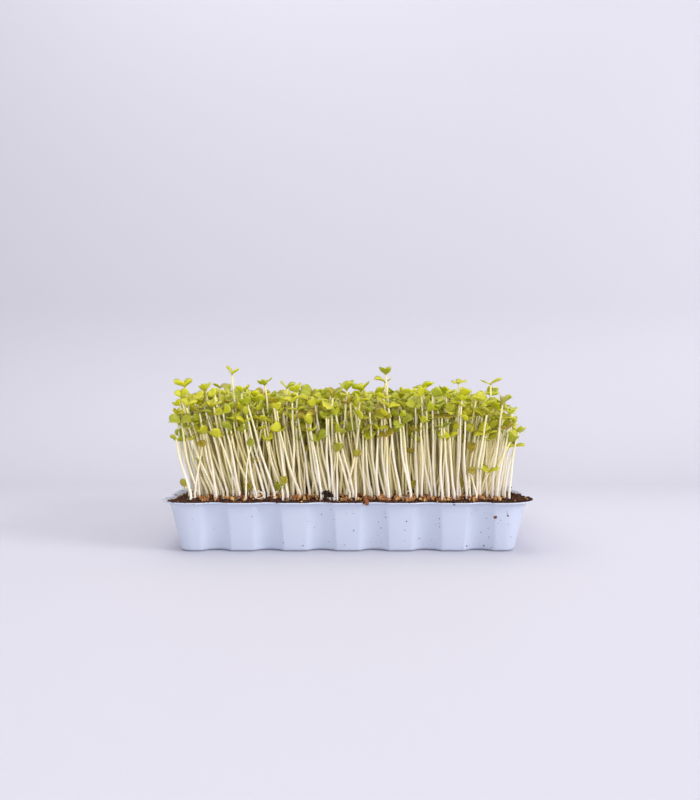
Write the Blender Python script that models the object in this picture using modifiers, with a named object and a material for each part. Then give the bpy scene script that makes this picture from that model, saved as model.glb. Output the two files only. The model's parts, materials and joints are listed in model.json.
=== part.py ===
"""A tray of microgreens: a thin plastic tray with fluted walls, brim full of potting soil,
with a dense stand of mustard seedlings. Units are metres, +Z is up, +X runs along the tray and
the origin is the middle of the tray's underside.

The seedlings grow in tufts. Each tuft is an oval plug of matted roots, which stands in a plain
hole in the soil, with three or more seedlings rising from it."""

import math
import random

import bmesh
import bpy
from mathutils import Matrix, Vector

# Tray
RIM_LENGTH = 0.230
RIM_WIDTH = 0.158
TRAY_HEIGHT = 0.0315
WALL = 0.0010
LIP_REACH = 0.0055
CORNER_RADIUS = 0.0145
CORNER_STEPS = 4
FLUTE_STEPS = 4
LONG_FLUTES = 6
SHORT_FLUTES = 4
LONG_PITCH = 0.0322
SHORT_PITCH = 0.0304
FOOT_FLUTE = (0.0048, 0.0182)
LIP_FLUTE = (0.0030, 0.0152)
# Rings of the tray's outer face: reach beyond the top of the wall, height, and how far the flute
# has changed from its shape at the foot (0) to its shape at the lip (1).
TRAY_RINGS = (
    (-0.0070, 0.0, 0.0),
    (-0.0058, 0.0018, 0.0),
    (-0.0002, 0.0255, 0.8),
    (0.0009, 0.0285, 0.9),
    (0.0029, 0.0302, 1.0),
    (LIP_REACH, TRAY_HEIGHT - WALL, 1.0),
)

# Soil
GAP = 0.0003
SOIL_TOP = 0.0322
SOIL_RINGS = (
    (-0.0062, WALL + GAP, 0.0),
    (0.0002, 0.0287, 0.9),
    (0.0032, 0.0313, 1.0),
)
SOIL_INSET = WALL + 0.0004
SOIL_SHELVES = (0.985, 0.86, 0.60, 0.30)
SOIL_MOUND = 0.0010
SOIL_RIPPLE = 0.0009
# Two sets of waves make the soil's lumps: waves along X and Y, in radians a metre, and their size.
SOIL_WAVES = ((410, 350, 1.0), (190, -270, 0.6))
HUSKS = 12
HUSK_SIZE = (0.0013, 0.0011, 0.0009)
HUSK_SHARES = (0.85, 1.30)
HUSK_TILT = 0.4
HUSK_MARGIN = 0.015

# Tufts of seedlings
SEED = 20
TUFT_COLUMNS = 7
TUFT_ROWS = 6
TUFT_SPAN = (0.170, 0.1225)
TUFT_STAGGER = 0.0025
TUFT_JITTER = (0.0008, 0.0030)
PLUG_RADII = (0.0120, 0.0052)
PLUG_SIDES = 8
PLUG_DEPTH = 0.0090
PLUG_TOP = 0.0312
ROOTED = 0.6
HOLE_CLEARANCE = 0.0004
SEEDLINGS_A_TUFT = 3
FRONT_ROW_TUFT = 6

# Seedlings
STEM_RADIUS = (0.00105, 0.00080)
STEM_CORNERS = (30, 150, 270)
STEM_PARTS = 2
NECK_TOP = 0.0362
STEM_HEIGHT = (0.040, 0.066)
USUAL_HEIGHT = 0.0556
BOW = 0.0035
SPREAD = 0.0125
LEAN = 0.10
BLADE = 0.00066
FORK_HEIGHT = 0.0010
LEAF_LENGTH = 0.0082
LEAF_WIDTH = 0.0074
# A leaf's edge from the right of its stalk, round its notch, to the left of its stalk:
# share of the half width, share of the length.
LEAF_EDGE = ((1.0, 0.58), (0.66, 1.0), (0.0, 0.83), (-0.66, 1.0), (-1.0, 0.58))
NOTCH = 2
LEAF_SHARES = ((0.86, 1.12), (0.72, 1.0))
LEAF_RISE = (8, 58)
LEAF_SWING = 0.35
LEAF_CUP = 0.0012
LEAF_ARCH = 0.0011
# Seedlings that stand out of the crowd: foot, then head, in millimetres.
STANDING_OUT = (
    ((95, -60), (102, -57, 78)),
    ((93, -66), (98, -71, 67)),
    ((-96, -66), (-99, -71, 39)),
    ((83, -66), (85, -72, 48)),
    ((35, -66), (23, -64, 108)),
    ((33, -58), (23, -52, 103)),
    ((-68, -62), (-73, -60, 107)),
    ((-66, -58), (-66, -64, 97)),
    ((-78, -60), (-80, -56, 99)),
    ((-85, -58), (-89, -50, 98)),
    ((-91, -62), (-102, -60, 100)),
    ((-87, -60), (-97, -71, 87)),
    ((-87, -66), (-101, -70, 76)),
    ((-91, -38), (-103, -42, 71)),
    ((-49, -60), (-51, -62, 101)),
    ((-36, -62), (-39, -58, 100)),
    ((-5, -62), (-1, -66, 99)),
    ((14, -62), (10, -58, 99)),
    ((44, -60), (47, -64, 98)),
    ((51, -62), (53, -60, 95)),
    ((62, -58), (61, -52, 96)),
    ((85, -58), (88, -62, 101)),
    ((91, -34), (101, -38, 90)),
    ((81, -38), (79, -42, 90)),
    ((88, 35), (84, 40, 104)),
    ((-84, 35), (-92, 40, 97)),
)
MM = 0.001

# How far seedlings keep apart
STEM_SAMPLES = 26
LEAF_SAMPLES = ((0.0, 0.35), (0.0, 0.65), (0.42, 0.50), (0.84, 0.60), (0.36, 0.86), (0.76, 0.92))
KEEP_APART = 0.0027
TRIES = 400
RIM_MARGIN = 0.0012

CREAM = (0.80, 0.76, 0.62, 1.0)
LEAF_GREEN = (0.36, 0.42, 0.05, 1.0)
TRAY_BLUE = (0.62, 0.68, 0.84, 1.0)
SOIL_BROWN = (0.060, 0.026, 0.014, 1.0)
HUSK_TAN = (0.46, 0.26, 0.10, 1.0)


def clear_scene():
    """Remove the startup objects."""
    for thing in list(bpy.data.objects):
        bpy.data.objects.remove(thing)


def material(name, colour, roughness):
    """A plain finish."""
    made = bpy.data.materials.new(name)
    made.use_nodes = True
    shader = made.node_tree.nodes["Principled BSDF"]
    shader.inputs["Base Color"].default_value = colour
    shader.inputs["Roughness"].default_value = roughness
    shader.inputs["Metallic"].default_value = 0.0
    return made


def mesh_object(name, points, faces, finishes, collection):
    """A new mesh object in a collection."""
    mesh = bpy.data.meshes.new(name)
    mesh.from_pydata([tuple(p) for p in points], [], faces)
    mesh.validate()
    for finish in finishes:
        mesh.materials.append(finish)
    made = bpy.data.objects.new(name, mesh)
    collection.objects.link(made)
    return made


def blend(low, high, share):
    """The value a share of the way from low to high."""
    return low + (high - low) * share


def flute(centre, depth, width):
    """One hollow of the fluted wall, a round arc, as (distance along the side, depth) points."""
    radius = (width**2 / 4 + depth**2) / (2 * depth)
    swing = math.asin(min(1.0, width / 2 / radius))
    points = []
    for step in range(FLUTE_STEPS + 1):
        angle = blend(-swing, swing, step / FLUTE_STEPS)
        along = radius * math.sin(angle)
        points.append((centre + along, radius * math.cos(angle) - (radius - depth)))
    return points


def side(count, pitch, half, depth, width):
    """The hollows of one side, for a side whose straight face lies half from the middle."""
    first = -(count - 1) / 2 * pitch
    points = []
    for number in range(count):
        for along, deep in flute(first + number * pitch, depth, width):
            points.append((along, half - deep))
    return points


def outline(reach, change, inset=0.0):
    """The tray's fluted outline, anticlockwise from the front right corner, in plan."""
    depth = blend(FOOT_FLUTE[0], LIP_FLUTE[0], change)
    width = blend(FOOT_FLUTE[1], LIP_FLUTE[1], change)
    half_x = RIM_LENGTH / 2 - LIP_REACH + reach
    half_y = RIM_WIDTH / 2 - LIP_REACH + reach
    radius = CORNER_RADIUS + reach
    sides = (
        side(SHORT_FLUTES, SHORT_PITCH, half_x, depth, width),
        side(LONG_FLUTES, LONG_PITCH, half_y, depth, width),
    ) * 2
    points = []
    for quarter, fluted in enumerate(sides):
        turn = Matrix.Rotation(quarter * math.pi / 2, 2)
        across, along = (half_x, half_y) if quarter % 2 == 0 else (half_y, half_x)
        for s, out in fluted:
            points.append(turn @ Vector((out, s)))
        for step in range(CORNER_STEPS + 1):
            angle = step / CORNER_STEPS * math.pi / 2
            corner = Vector((across - radius, along - radius))
            corner += radius * Vector((math.cos(angle), math.sin(angle)))
            points.append(turn @ corner)
    return inward(points, inset)


def inward(points, distance):
    """The same outline, drawn in by a distance square to its edges."""
    moved = []
    for before, here, after in zip(points[-1:] + points[:-1], points, points[1:] + points[:1]):
        first = (here - before).normalized()
        second = (after - here).normalized()
        normal = Vector((-first.y - second.y, first.x + second.x)).normalized()
        mitre = normal.dot(Vector((-first.y, first.x)))
        moved.append(here + normal * distance / max(mitre, 0.5))
    return moved


def bridge(rings, count):
    """Quads between neighbouring rings of count points each."""
    faces = []
    for ring in range(rings - 1):
        for n in range(count):
            after = (n + 1) % count
            low, high = ring * count, (ring + 1) * count
            faces.append((low + n, low + after, high + after, high + n))
    return faces


def add_tray(collection, finish):
    """The tray: an open fluted surface with a floor, thickened inwards."""
    points = []
    for reach, height, change in TRAY_RINGS:
        points += [(p.x, p.y, height) for p in outline(reach, change)]
    count = len(points) // len(TRAY_RINGS)
    faces = bridge(len(TRAY_RINGS), count)
    faces.append(tuple(reversed(range(count))))
    tray = mesh_object("tray", points, faces, [finish], collection)
    wall = tray.modifiers.new("Wall", "SOLIDIFY")
    wall.thickness = WALL
    wall.offset = -1.0
    wall.use_even_offset = True
    wall.use_quality_normals = True
    tray.data.set_sharp_from_angle(angle=math.radians(40))
    return tray


def soil_height(x, y):
    """The height of the soil's surface: a low mound with lumps."""
    across = 1 - (2 * x / RIM_LENGTH) ** 2
    along = 1 - (2 * y / RIM_WIDTH) ** 2
    (first_x, first_y, first), (second_x, second_y, second) = SOIL_WAVES
    lumps = first * math.sin(x * first_x + 1.3) * math.cos(y * first_y + 0.4)
    lumps += second * math.sin(x * second_x + y * second_y)
    return SOIL_TOP + SOIL_MOUND * max(0.0, across * along) + SOIL_RIPPLE * lumps


def add_soil(collection, finishes, holes, husks):
    """The soil: a block that follows the tray's inner face, with a lumpy top, husks and holes."""
    points = []
    for reach, height, change in SOIL_RINGS:
        points += [(p.x, p.y, height) for p in outline(reach, change, SOIL_INSET)]
    count = len(points) // len(SOIL_RINGS)
    edge = points[-count:]
    faces = bridge(len(SOIL_RINGS), count)
    faces.append(tuple(reversed(range(count))))
    # The first shelf keeps every point of the edge, and the others every third.
    for number, share in enumerate(SOIL_SHELVES):
        for x, y, _ in edge if number == 0 else edge[::3]:
            points.append((x * share, y * share, soil_height(x * share, y * share)))
    first = len(SOIL_RINGS) * count
    faces += [tuple(i + first - count for i in face) for face in bridge(2, count)]
    coarse = count // 3
    second = first + count
    for n in range(coarse):
        here, after = second + n, second + (n + 1) % coarse
        outer = [first + (3 * n + k) % count for k in range(4)]
        faces += [(outer[k], outer[k + 1], here) for k in range(2)]
        faces += [(outer[2], outer[3], after), (outer[2], after, here)]
    faces += [tuple(i + second for i in face) for face in bridge(len(SOIL_SHELVES) - 1, coarse)]
    faces.append(tuple(range(len(points) - coarse, len(points))))
    soil = mesh_object("soil", points, faces, finishes, collection)
    join(soil, husks, "UNION")
    join(soil, holes, "DIFFERENCE")
    soil.data.set_sharp_from_angle(angle=math.radians(50))
    return soil


def helper_collection(name):
    """A collection for objects that a Boolean uses."""
    made = bpy.data.collections.new(name)
    bpy.context.scene.collection.children.link(made)
    return made


def join(base, others, operation):
    """Apply one Boolean between an object and a collection, then remove the collection's objects."""
    modifier = base.modifiers.new("Join", "BOOLEAN")
    modifier.operation = operation
    modifier.operand_type = "COLLECTION"
    modifier.collection = others
    modifier.solver = "MANIFOLD"
    graph = bpy.context.evaluated_depsgraph_get()
    joined = bpy.data.meshes.new_from_object(base.evaluated_get(graph))
    base.modifiers.clear()
    base.data = joined
    joined.name = base.name
    keep_largest(joined)
    for other in list(others.objects):
        bpy.data.objects.remove(other)
    bpy.data.collections.remove(others)


def keep_largest(mesh):
    """Drop the scraps and sealed hollows that a Boolean leaves, which are shells of their own."""
    work = bmesh.new()
    work.from_mesh(mesh)
    shells, seen = [], set()
    for start in work.verts:
        if start in seen:
            continue
        shell, front = {start}, [start]
        while front:
            vertex = front.pop()
            for edge in vertex.link_edges:
                other = edge.other_vert(vertex)
                if other not in shell:
                    shell.add(other)
                    front.append(other)
        seen |= shell
        shells.append(shell)
    largest = max(shells, key=len)
    bmesh.ops.delete(work, geom=[v for v in work.verts if v not in largest], context="VERTS")
    work.to_mesh(mesh)
    work.free()


def plan_of_tufts(draw):
    """The middle of each root plug in plan, row by row from the front."""
    tufts = []
    for row in range(TUFT_ROWS):
        for column in range(TUFT_COLUMNS):
            x = blend(-0.5, 0.5, column / (TUFT_COLUMNS - 1)) * TUFT_SPAN[0]
            y = blend(-0.5, 0.5, row / (TUFT_ROWS - 1)) * TUFT_SPAN[1]
            inner = 0.0 if row in (0, TUFT_ROWS - 1) else 1.0
            x += TUFT_STAGGER * (1 if row % 2 else -1) + TUFT_JITTER[0] * draw.uniform(-1, 1)
            y += TUFT_JITTER[1] * draw.uniform(-1, 1) * inner
            tufts.append(Vector((x, y)))
    return tufts


def stem_line(foot, head, bow, steps):
    """Points up a stem: it stands upright in its hole, then bows to one side on its way up."""
    neck = Vector((foot.x, foot.y, NECK_TOP))
    knee = blend(neck, head, 0.5) + bow
    line = [Vector((foot.x, foot.y, PLUG_TOP - PLUG_DEPTH * ROOTED))]
    for step in range(steps + 1):
        share = step / steps
        line.append(blend(blend(neck, knee, share), blend(knee, head, share), share))
    return line


class Seedling:
    """One seedling: its stem's line, the way that its head is turned, and its two leaves."""

    def __init__(self, draw, foot, head):
        bow = Vector((draw.uniform(-1, 1), draw.uniform(-1, 1), 0)) * BOW
        self.foot, self.head, self.bow = foot, head, bow
        self.turn = draw.uniform(0, 2 * math.pi)
        self.rise = [math.radians(draw.uniform(*LEAF_RISE)) for _ in range(2)]
        self.size = [draw.uniform(*shares) for shares in LEAF_SHARES]
        self.swing = [draw.uniform(-LEAF_SWING, LEAF_SWING) for _ in range(2)]

    def leaf_frames(self):
        """The place of each leaf: its stalk at the head, its length along +Y and its face up."""
        frames = []
        for number in range(2):
            yaw = self.turn + number * math.pi + self.swing[number]
            frames.append(
                Matrix.Translation(self.head)
                @ Matrix.Rotation(yaw, 4, "Z")
                @ Matrix.Rotation(self.rise[number], 4, "X")
                @ Matrix.Scale(self.size[number], 4)
            )
        return frames

    def samples(self):
        """Points that stand for the seedling where seedlings are kept apart."""
        found = stem_line(self.foot, self.head, self.bow, STEM_SAMPLES)[1:]
        for frame in self.leaf_frames():
            for u, v in LEAF_SAMPLES:
                found.append(frame @ leaf_point(u, v))
                found.append(frame @ leaf_point(-u, v))
        return found

    def inside_rim(self):
        """Whether the whole seedling stays within the tray's rim, in plan."""
        half_x = RIM_LENGTH / 2 - RIM_MARGIN
        half_y = RIM_WIDTH / 2 - RIM_MARGIN
        for frame in self.leaf_frames():
            for p in (frame @ leaf_point(u, v) for u, v in LEAF_EDGE):
                if abs(p.x) > half_x or abs(p.y) > half_y:
                    return False
        return True


def leaf_point(u, v, height=0.0):
    """A point of a leaf's face: u across from -1 to 1, v along from the stalk to the tip."""
    cup = LEAF_CUP * abs(u) - LEAF_ARCH * v * v
    return Vector((u * LEAF_WIDTH / 2, v * LEAF_LENGTH, height + cup))


def leaf_faces(top_root, bottom_root, first):
    """The faces of one leaf, whose upper edge points start at first and are followed by the lower.
    Its roots are the right and left points where it joins the stem, above and below."""
    count = len(LEAF_EDGE)
    tops, bottoms = list(range(first, first + count)), list(range(first + count, first + 2 * count))
    upper = [top_root[0], *tops, top_root[1]]
    lower = [bottom_root[0], *bottoms, bottom_root[1]]
    faces = []
    for ring, notch, up in ((upper, tops[NOTCH], True), (lower, bottoms[NOTCH], False)):
        for here, after in zip(ring, ring[1:] + ring[:1]):
            if notch not in (here, after) and here != after:
                faces.append((notch, here, after) if up else (notch, after, here))
    for n in range(len(upper) - 1):
        faces.append((upper[n], lower[n], lower[n + 1]))
        faces.append((upper[n], lower[n + 1], upper[n + 1]))
    return faces


def add_seedling(seedling, finishes, collection):
    """A slender stem that forks into two heart-shaped seed leaves, as one closed surface."""
    line = stem_line(seedling.foot, seedling.head, seedling.bow, STEM_PARTS)
    points = []
    for number, centre in enumerate(line):
        radius = blend(STEM_RADIUS[0], STEM_RADIUS[1], number / (len(line) - 1))
        for corner in STEM_CORNERS:
            angle = seedling.turn + math.radians(corner)
            points.append(centre + radius * Vector((math.cos(angle), math.sin(angle), 0)))
    corners = len(STEM_CORNERS)
    right, left, back = range(len(points) - corners, len(points))
    faces = bridge(len(line), corners)
    faces.append(tuple(reversed(range(corners))))
    across = STEM_RADIUS[1] * Vector((math.cos(seedling.turn), math.sin(seedling.turn), 0))
    fork = seedling.head + Vector((0, 0, FORK_HEIGHT))
    ridge = (len(points), len(points) + 1)
    points += [fork + across, fork - across]
    faces += [(back, right, ridge[0]), (left, back, ridge[1])]
    stem_faces = len(faces)
    roots = ((ridge, (right, left)), (ridge[::-1], (back, back)))
    for frame, (top_root, bottom_root) in zip(seedling.leaf_frames(), roots):
        faces += leaf_faces(top_root, bottom_root, len(points))
        points += [frame @ leaf_point(u, v, FORK_HEIGHT) for u, v in LEAF_EDGE]
        points += [frame @ leaf_point(u, v, FORK_HEIGHT - BLADE) for u, v in LEAF_EDGE]
    made = mesh_object("seedling", points, faces, finishes, collection)
    for face in made.data.polygons[stem_faces:]:
        face.material_index = 1
    return made


class Crowd:
    """The seedlings that stand so far, in small cells, so that a new one is tested quickly."""

    def __init__(self):
        self.cells = {}

    def cell(self, point):
        """The cell that holds a point."""
        return tuple(math.floor(c / KEEP_APART) for c in point)

    def add(self, points):
        """Note the points of one more seedling."""
        for point in points:
            self.cells.setdefault(self.cell(point), []).append(point)

    def is_clear(self, points):
        """Whether points keep their distance from every seedling that stands."""
        steps = [(a, b, c) for a in (-1, 0, 1) for b in (-1, 0, 1) for c in (-1, 0, 1)]
        for point in points:
            i, j, k = self.cell(point)
            for a, b, c in steps:
                for place in self.cells.get((i + a, j + b, k + c), ()):
                    if (place - point).length < KEEP_APART:
                        return False
        return True


def in_plug(middle, foot):
    """The nearest place to a foot that lies well inside an oval root plug."""
    away = foot - middle
    most = Vector([radius - 2 * STEM_RADIUS[0] for radius in PLUG_RADII])
    reach = math.hypot(away.x / most.x, away.y / most.y)
    return middle + away / max(1.0, reach)


def grow(draw, tufts):
    """Every tuft's seedlings: first those that stand out, then the rest, kept clear of others."""
    crowd = Crowd()
    grown = [[] for _ in tufts]

    def stands(owner, seedling):
        """Plant a seedling if there is room for it."""
        points = seedling.samples()
        if not seedling.inside_rim() or not crowd.is_clear(points):
            return False
        crowd.add(points)
        grown[owner].append(seedling)
        return True

    for foot, head in STANDING_OUT:
        foot, head = Vector(foot) * MM, Vector(head) * MM
        owner = min(range(len(tufts)), key=lambda n: (tufts[n] - foot).length)
        for _ in range(TRIES):
            nudge = Vector([draw.uniform(-1, 1) * MM for _ in range(3)])
            if stands(owner, Seedling(draw, in_plug(tufts[owner], foot + nudge.xy), head + nudge)):
                break
    for owner, middle in enumerate(tufts):
        wanted = FRONT_ROW_TUFT if owner < TUFT_COLUMNS else SEEDLINGS_A_TUFT
        for _ in range(TRIES):
            if len(grown[owner]) >= wanted:
                break
            foot = in_plug(middle, middle + Vector([draw.uniform(-1, 1) * r for r in PLUG_RADII]))
            angle = draw.uniform(0, 2 * math.pi)
            away = Vector((math.cos(angle), math.sin(angle)))
            tall = draw.triangular(*STEM_HEIGHT, USUAL_HEIGHT)
            spread = away * draw.uniform(0.1, 1.0) * SPREAD
            head = foot + spread + foot * LEAN * tall / STEM_HEIGHT[1]
            stands(owner, Seedling(draw, foot, Vector((head.x, head.y, SOIL_TOP + tall))))
    return grown


def move_to(thing, collection):
    """Move an object into a collection."""
    for holder in list(thing.users_collection):
        holder.objects.unlink(thing)
    collection.objects.link(thing)


def oval_plug(middle, radii, floor, top, collection):
    """An upright oval plug between two heights."""
    bpy.ops.mesh.primitive_cylinder_add(
        vertices=PLUG_SIDES,
        radius=1.0,
        depth=top - floor,
        location=(middle.x, middle.y, blend(floor, top, 0.5)),
    )
    made = bpy.context.object
    made.scale = (radii[0], radii[1], 1.0)
    move_to(made, collection)
    return made


def add_tuft(number, middle, seedlings, finishes, collection):
    """One tuft: a root plug with its seedlings fused to it."""
    tuft = oval_plug(middle, PLUG_RADII, PLUG_TOP - PLUG_DEPTH, PLUG_TOP, collection)
    tuft.name = f"seedlings_{number + 1:02d}"
    for finish in finishes:
        tuft.data.materials.append(finish)
    bpy.context.view_layer.update()
    tuft.data.transform(tuft.matrix_world)
    tuft.matrix_world = Matrix()
    repeats = helper_collection("repeats")
    for seedling in seedlings:
        add_seedling(seedling, finishes, repeats)
    join(tuft, repeats, "UNION")
    return tuft


def add_holes(tufts, collection):
    """A plain hole in the soil for each root plug."""
    floor = PLUG_TOP - PLUG_DEPTH - GAP
    radii = [radius + HOLE_CLEARANCE for radius in PLUG_RADII]
    for middle in tufts:
        oval_plug(middle, radii, floor, 2 * SOIL_TOP - floor, collection)


def add_husks(draw, tufts, collection, finishes):
    """Empty seed husks, half sunk in the soil between the plugs."""
    half = Vector((RIM_LENGTH / 2 - HUSK_MARGIN, RIM_WIDTH / 2 - HUSK_MARGIN))
    clear = Vector([radius + 2 * HUSK_SIZE[0] for radius in PLUG_RADII])
    placed = 0
    while placed < HUSKS:
        x, y = draw.uniform(-half.x, half.x), draw.uniform(-half.y, half.y)
        if any(abs(x - m.x) < clear.x and abs(y - m.y) < clear.y for m in tufts):
            continue
        place = (x, y, soil_height(x, y))
        bpy.ops.mesh.primitive_ico_sphere_add(subdivisions=1, radius=1.0, location=place)
        husk = bpy.context.object
        husk.scale = Vector(HUSK_SIZE) * draw.uniform(*HUSK_SHARES)
        husk.rotation_euler = (0, draw.uniform(-HUSK_TILT, HUSK_TILT), draw.uniform(0, math.pi))
        for finish in finishes:
            husk.data.materials.append(finish)
        for face in husk.data.polygons:
            face.material_index = 1
        move_to(husk, collection)
        placed += 1


def main():
    """Build the tray, its soil and its seedlings."""
    clear_scene()
    greens = bpy.data.collections.new("microgreens tray")
    bpy.context.scene.collection.children.link(greens)
    stem = material("stem", CREAM, 0.5)
    leaf = material("leaf", LEAF_GREEN, 0.45)
    soil = material("soil", SOIL_BROWN, 0.95)
    husk = material("husk", HUSK_TAN, 0.6)
    draw = random.Random(SEED)
    tufts = plan_of_tufts(draw)
    grown = grow(draw, tufts)
    add_tray(greens, material("tray", TRAY_BLUE, 0.3))
    holes = helper_collection("holes")
    add_holes(tufts, holes)
    husks = helper_collection("husks")
    add_husks(draw, tufts, husks, [soil, husk])
    add_soil(greens, [soil, husk], holes, husks)
    for number, (middle, seedlings) in enumerate(zip(tufts, grown)):
        add_tuft(number, middle, seedlings, [stem, leaf], greens)


main()
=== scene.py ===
"""The looks of a tray of microgreens: a pale fluted plastic tray, brim full of dark potting soil,
with a dense stand of mustard seedlings. Units are metres, +Z is up and -Y is the front."""

from __future__ import annotations

import json
import logging
import math
import random
from dataclasses import dataclass
from enum import Enum

import bmesh
import bpy
from mathutils import Euler, Matrix, Vector, noise

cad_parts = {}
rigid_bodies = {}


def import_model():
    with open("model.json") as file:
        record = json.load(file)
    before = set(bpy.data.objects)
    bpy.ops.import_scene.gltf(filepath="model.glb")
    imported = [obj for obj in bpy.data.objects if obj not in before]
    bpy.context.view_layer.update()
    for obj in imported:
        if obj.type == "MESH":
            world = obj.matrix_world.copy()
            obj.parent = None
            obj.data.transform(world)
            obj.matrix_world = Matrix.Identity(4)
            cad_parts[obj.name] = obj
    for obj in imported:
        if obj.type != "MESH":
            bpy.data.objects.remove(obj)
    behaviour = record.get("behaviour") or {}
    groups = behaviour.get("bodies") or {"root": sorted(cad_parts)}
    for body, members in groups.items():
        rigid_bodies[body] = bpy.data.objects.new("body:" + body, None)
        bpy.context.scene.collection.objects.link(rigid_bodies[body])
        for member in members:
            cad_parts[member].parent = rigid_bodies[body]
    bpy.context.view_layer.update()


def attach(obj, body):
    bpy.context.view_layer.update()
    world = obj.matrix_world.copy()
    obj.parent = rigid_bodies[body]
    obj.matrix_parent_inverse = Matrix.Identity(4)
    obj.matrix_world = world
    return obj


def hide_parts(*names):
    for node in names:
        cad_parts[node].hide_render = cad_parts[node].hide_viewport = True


LOG = logging.getLogger("microgreens")
BODY = "root"
MM = 0.001
Colour = tuple[float, float, float, float]
Point = tuple[float, float, float]
Pair = tuple[float, float]
Span = tuple[Pair, Pair]


class Slot(Enum):
    """The finishes that the part's record names."""

    TRAY = "tray"
    SOIL = "soil"
    SEEDLING = "seedling"


def blend(low, high, share: float):
    """The value a share of the way from low to high."""
    return low + (high - low) * share


def smooth(share: float) -> float:
    """A share from 0 to 1, eased at both ends."""
    share = min(1.0, max(0.0, share))
    return share * share * (3 - 2 * share)


def ramp(value: float, start: float, length: float) -> float:
    """An eased rise from 0 at start to 1 a length further on."""
    return smooth((value - start) / length)


# Node graphs


class Wire:
    """One output of a node, which Python's operators turn into further Math nodes."""

    def __init__(self, graph: Graph, socket: bpy.types.NodeSocket) -> None:
        self.graph = graph
        self.socket = socket

    def _math(self, operation: str, first: object, second: object) -> Wire:
        """A Math node on two values."""
        return self.graph.add("ShaderNodeMath", {"operation": operation}, {0: first, 1: second})

    def __add__(self, other: Wire | float) -> Wire:
        """The sum of two values."""
        return self._math("ADD", self, other)

    def __sub__(self, other: Wire | float) -> Wire:
        """The difference of two values."""
        return self._math("SUBTRACT", self, other)

    def __mul__(self, other: Wire | float) -> Wire:
        """The product of two values."""
        return self._math("MULTIPLY", self, other)

    def __pow__(self, other: float) -> Wire:
        """This value to a power."""
        return self._math("POWER", self, other)

    def other(self, name: str) -> Wire:
        """Another output of the same node."""
        return Wire(self.graph, Graph.find(self.socket.node.outputs, name))

    def step(self, low: float, high: float) -> Wire:
        """A smooth step from 0 at low to 1 at high.

        Args:
            low: the value where the step starts.
            high: the value where it ends, which may be below low.

        Returns:
            The step as a value from 0 to 1.
        """
        sockets = {"Value": self, "From Min": low, "From Max": high}
        return self.graph.add("ShaderNodeMapRange", {"interpolation_type": "SMOOTHSTEP"}, sockets)


class Graph:
    """A node tree under construction, for a finish or for Geometry Nodes."""

    def __init__(self, tree: bpy.types.NodeTree) -> None:
        self.tree = tree

    def add(
        self,
        kind: str,
        settings: dict[str, object] | None = None,
        sockets: dict[str | int, object] | None = None,
        output: str | int = 0,
    ) -> Wire:
        """Add a node, set it up and feed its sockets.

        Args:
            kind: the node's type.
            settings: the node's own settings.
            sockets: values or wires by the socket's name or number.
            output: the name or number of the output that is wanted.

        Returns:
            That output.
        """
        node = self.tree.nodes.new(kind)
        for name, value in (settings or {}).items():
            setattr(node, name, value)
        for name, value in (sockets or {}).items():
            socket = self.find(node.inputs, name)
            for part in value if isinstance(value, list) else [value]:
                if isinstance(part, Wire):
                    self.tree.links.new(part.socket, socket)
                else:
                    socket.default_value = part
        return Wire(self, self.find(node.outputs, output))

    def end(self, kind: str, result: Wire) -> None:
        """Add the tree's last node and link a wire to it."""
        self.tree.links.new(result.socket, self.tree.nodes.new(kind).inputs[0])

    @staticmethod
    def find(sockets: bpy.types.bpy_prop_collection, name: str | int) -> bpy.types.NodeSocket:
        """A socket by its number, or the one in use that has a name."""
        if isinstance(name, int):
            return sockets[name]
        return next(socket for socket in sockets if socket.name == name and socket.enabled)

    def mix(self, first: Wire | Colour, second: Wire | Colour, share: Wire | float) -> Wire:
        """Two colours mixed by a share."""
        sockets = {"Factor": share, "A": first, "B": second}
        return self.add("ShaderNodeMix", {"data_type": "RGBA"}, sockets, "Result")

    def place(self) -> Wire:
        """The point's place on its piece, in metres."""
        return self.add("ShaderNodeTexCoord", output="Object")

    def stretched(self, scale: Point) -> Wire:
        """The point's place, stretched along the axes."""
        sockets = {0: self.place(), 1: scale}
        return self.add("ShaderNodeVectorMath", {"operation": "MULTIPLY"}, sockets)

    def value(self, name: str) -> Wire:
        """A number that the mesh carries under a name."""
        return self.add("ShaderNodeAttribute", {"attribute_name": name}, output="Fac")

    def noise(self, at: Wire, scale: float, detail: float = 3.0, rough: float = 0.55) -> Wire:
        """Cloudy noise from 0 to 1."""
        sockets = {"Vector": at, "Scale": scale, "Detail": detail, "Roughness": rough}
        return self.add("ShaderNodeTexNoise", None, sockets, 0)

    def cells(self, at: Wire, scale: float, output: str = "Distance") -> Wire:
        """A field of cells: the distance to the nearest cell's point, or the cell's colour."""
        return self.add("ShaderNodeTexVoronoi", None, {"Vector": at, "Scale": scale}, output)

    def bump(self, height: Wire, depth: float, strength: float) -> Wire:
        """A surface normal from a height, whose full step is depth metres."""
        sockets = {"Height": height, "Distance": depth, "Strength": strength}
        return self.add("ShaderNodeBump", None, sockets)


def new_finish(name: str) -> Graph:
    """An empty finish.

    Args:
        name: the material's name.

    Returns:
        The graph of its nodes.
    """
    made = bpy.data.materials.new(name)
    made.use_nodes = True
    made.node_tree.nodes.clear()
    return Graph(made.node_tree)


def close_finish(graph: Graph, sockets: dict[str | int, object]) -> bpy.types.Material:
    """End a finish with its shader.

    Args:
        graph: the finish's nodes.
        sockets: what the shader's sockets take.

    Returns:
        The material.
    """
    shader = graph.add("ShaderNodeBsdfPrincipled", None, sockets)
    graph.end("ShaderNodeOutputMaterial", shader)
    return next(made for made in bpy.data.materials if made.node_tree == graph.tree)


# Finishes


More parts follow.
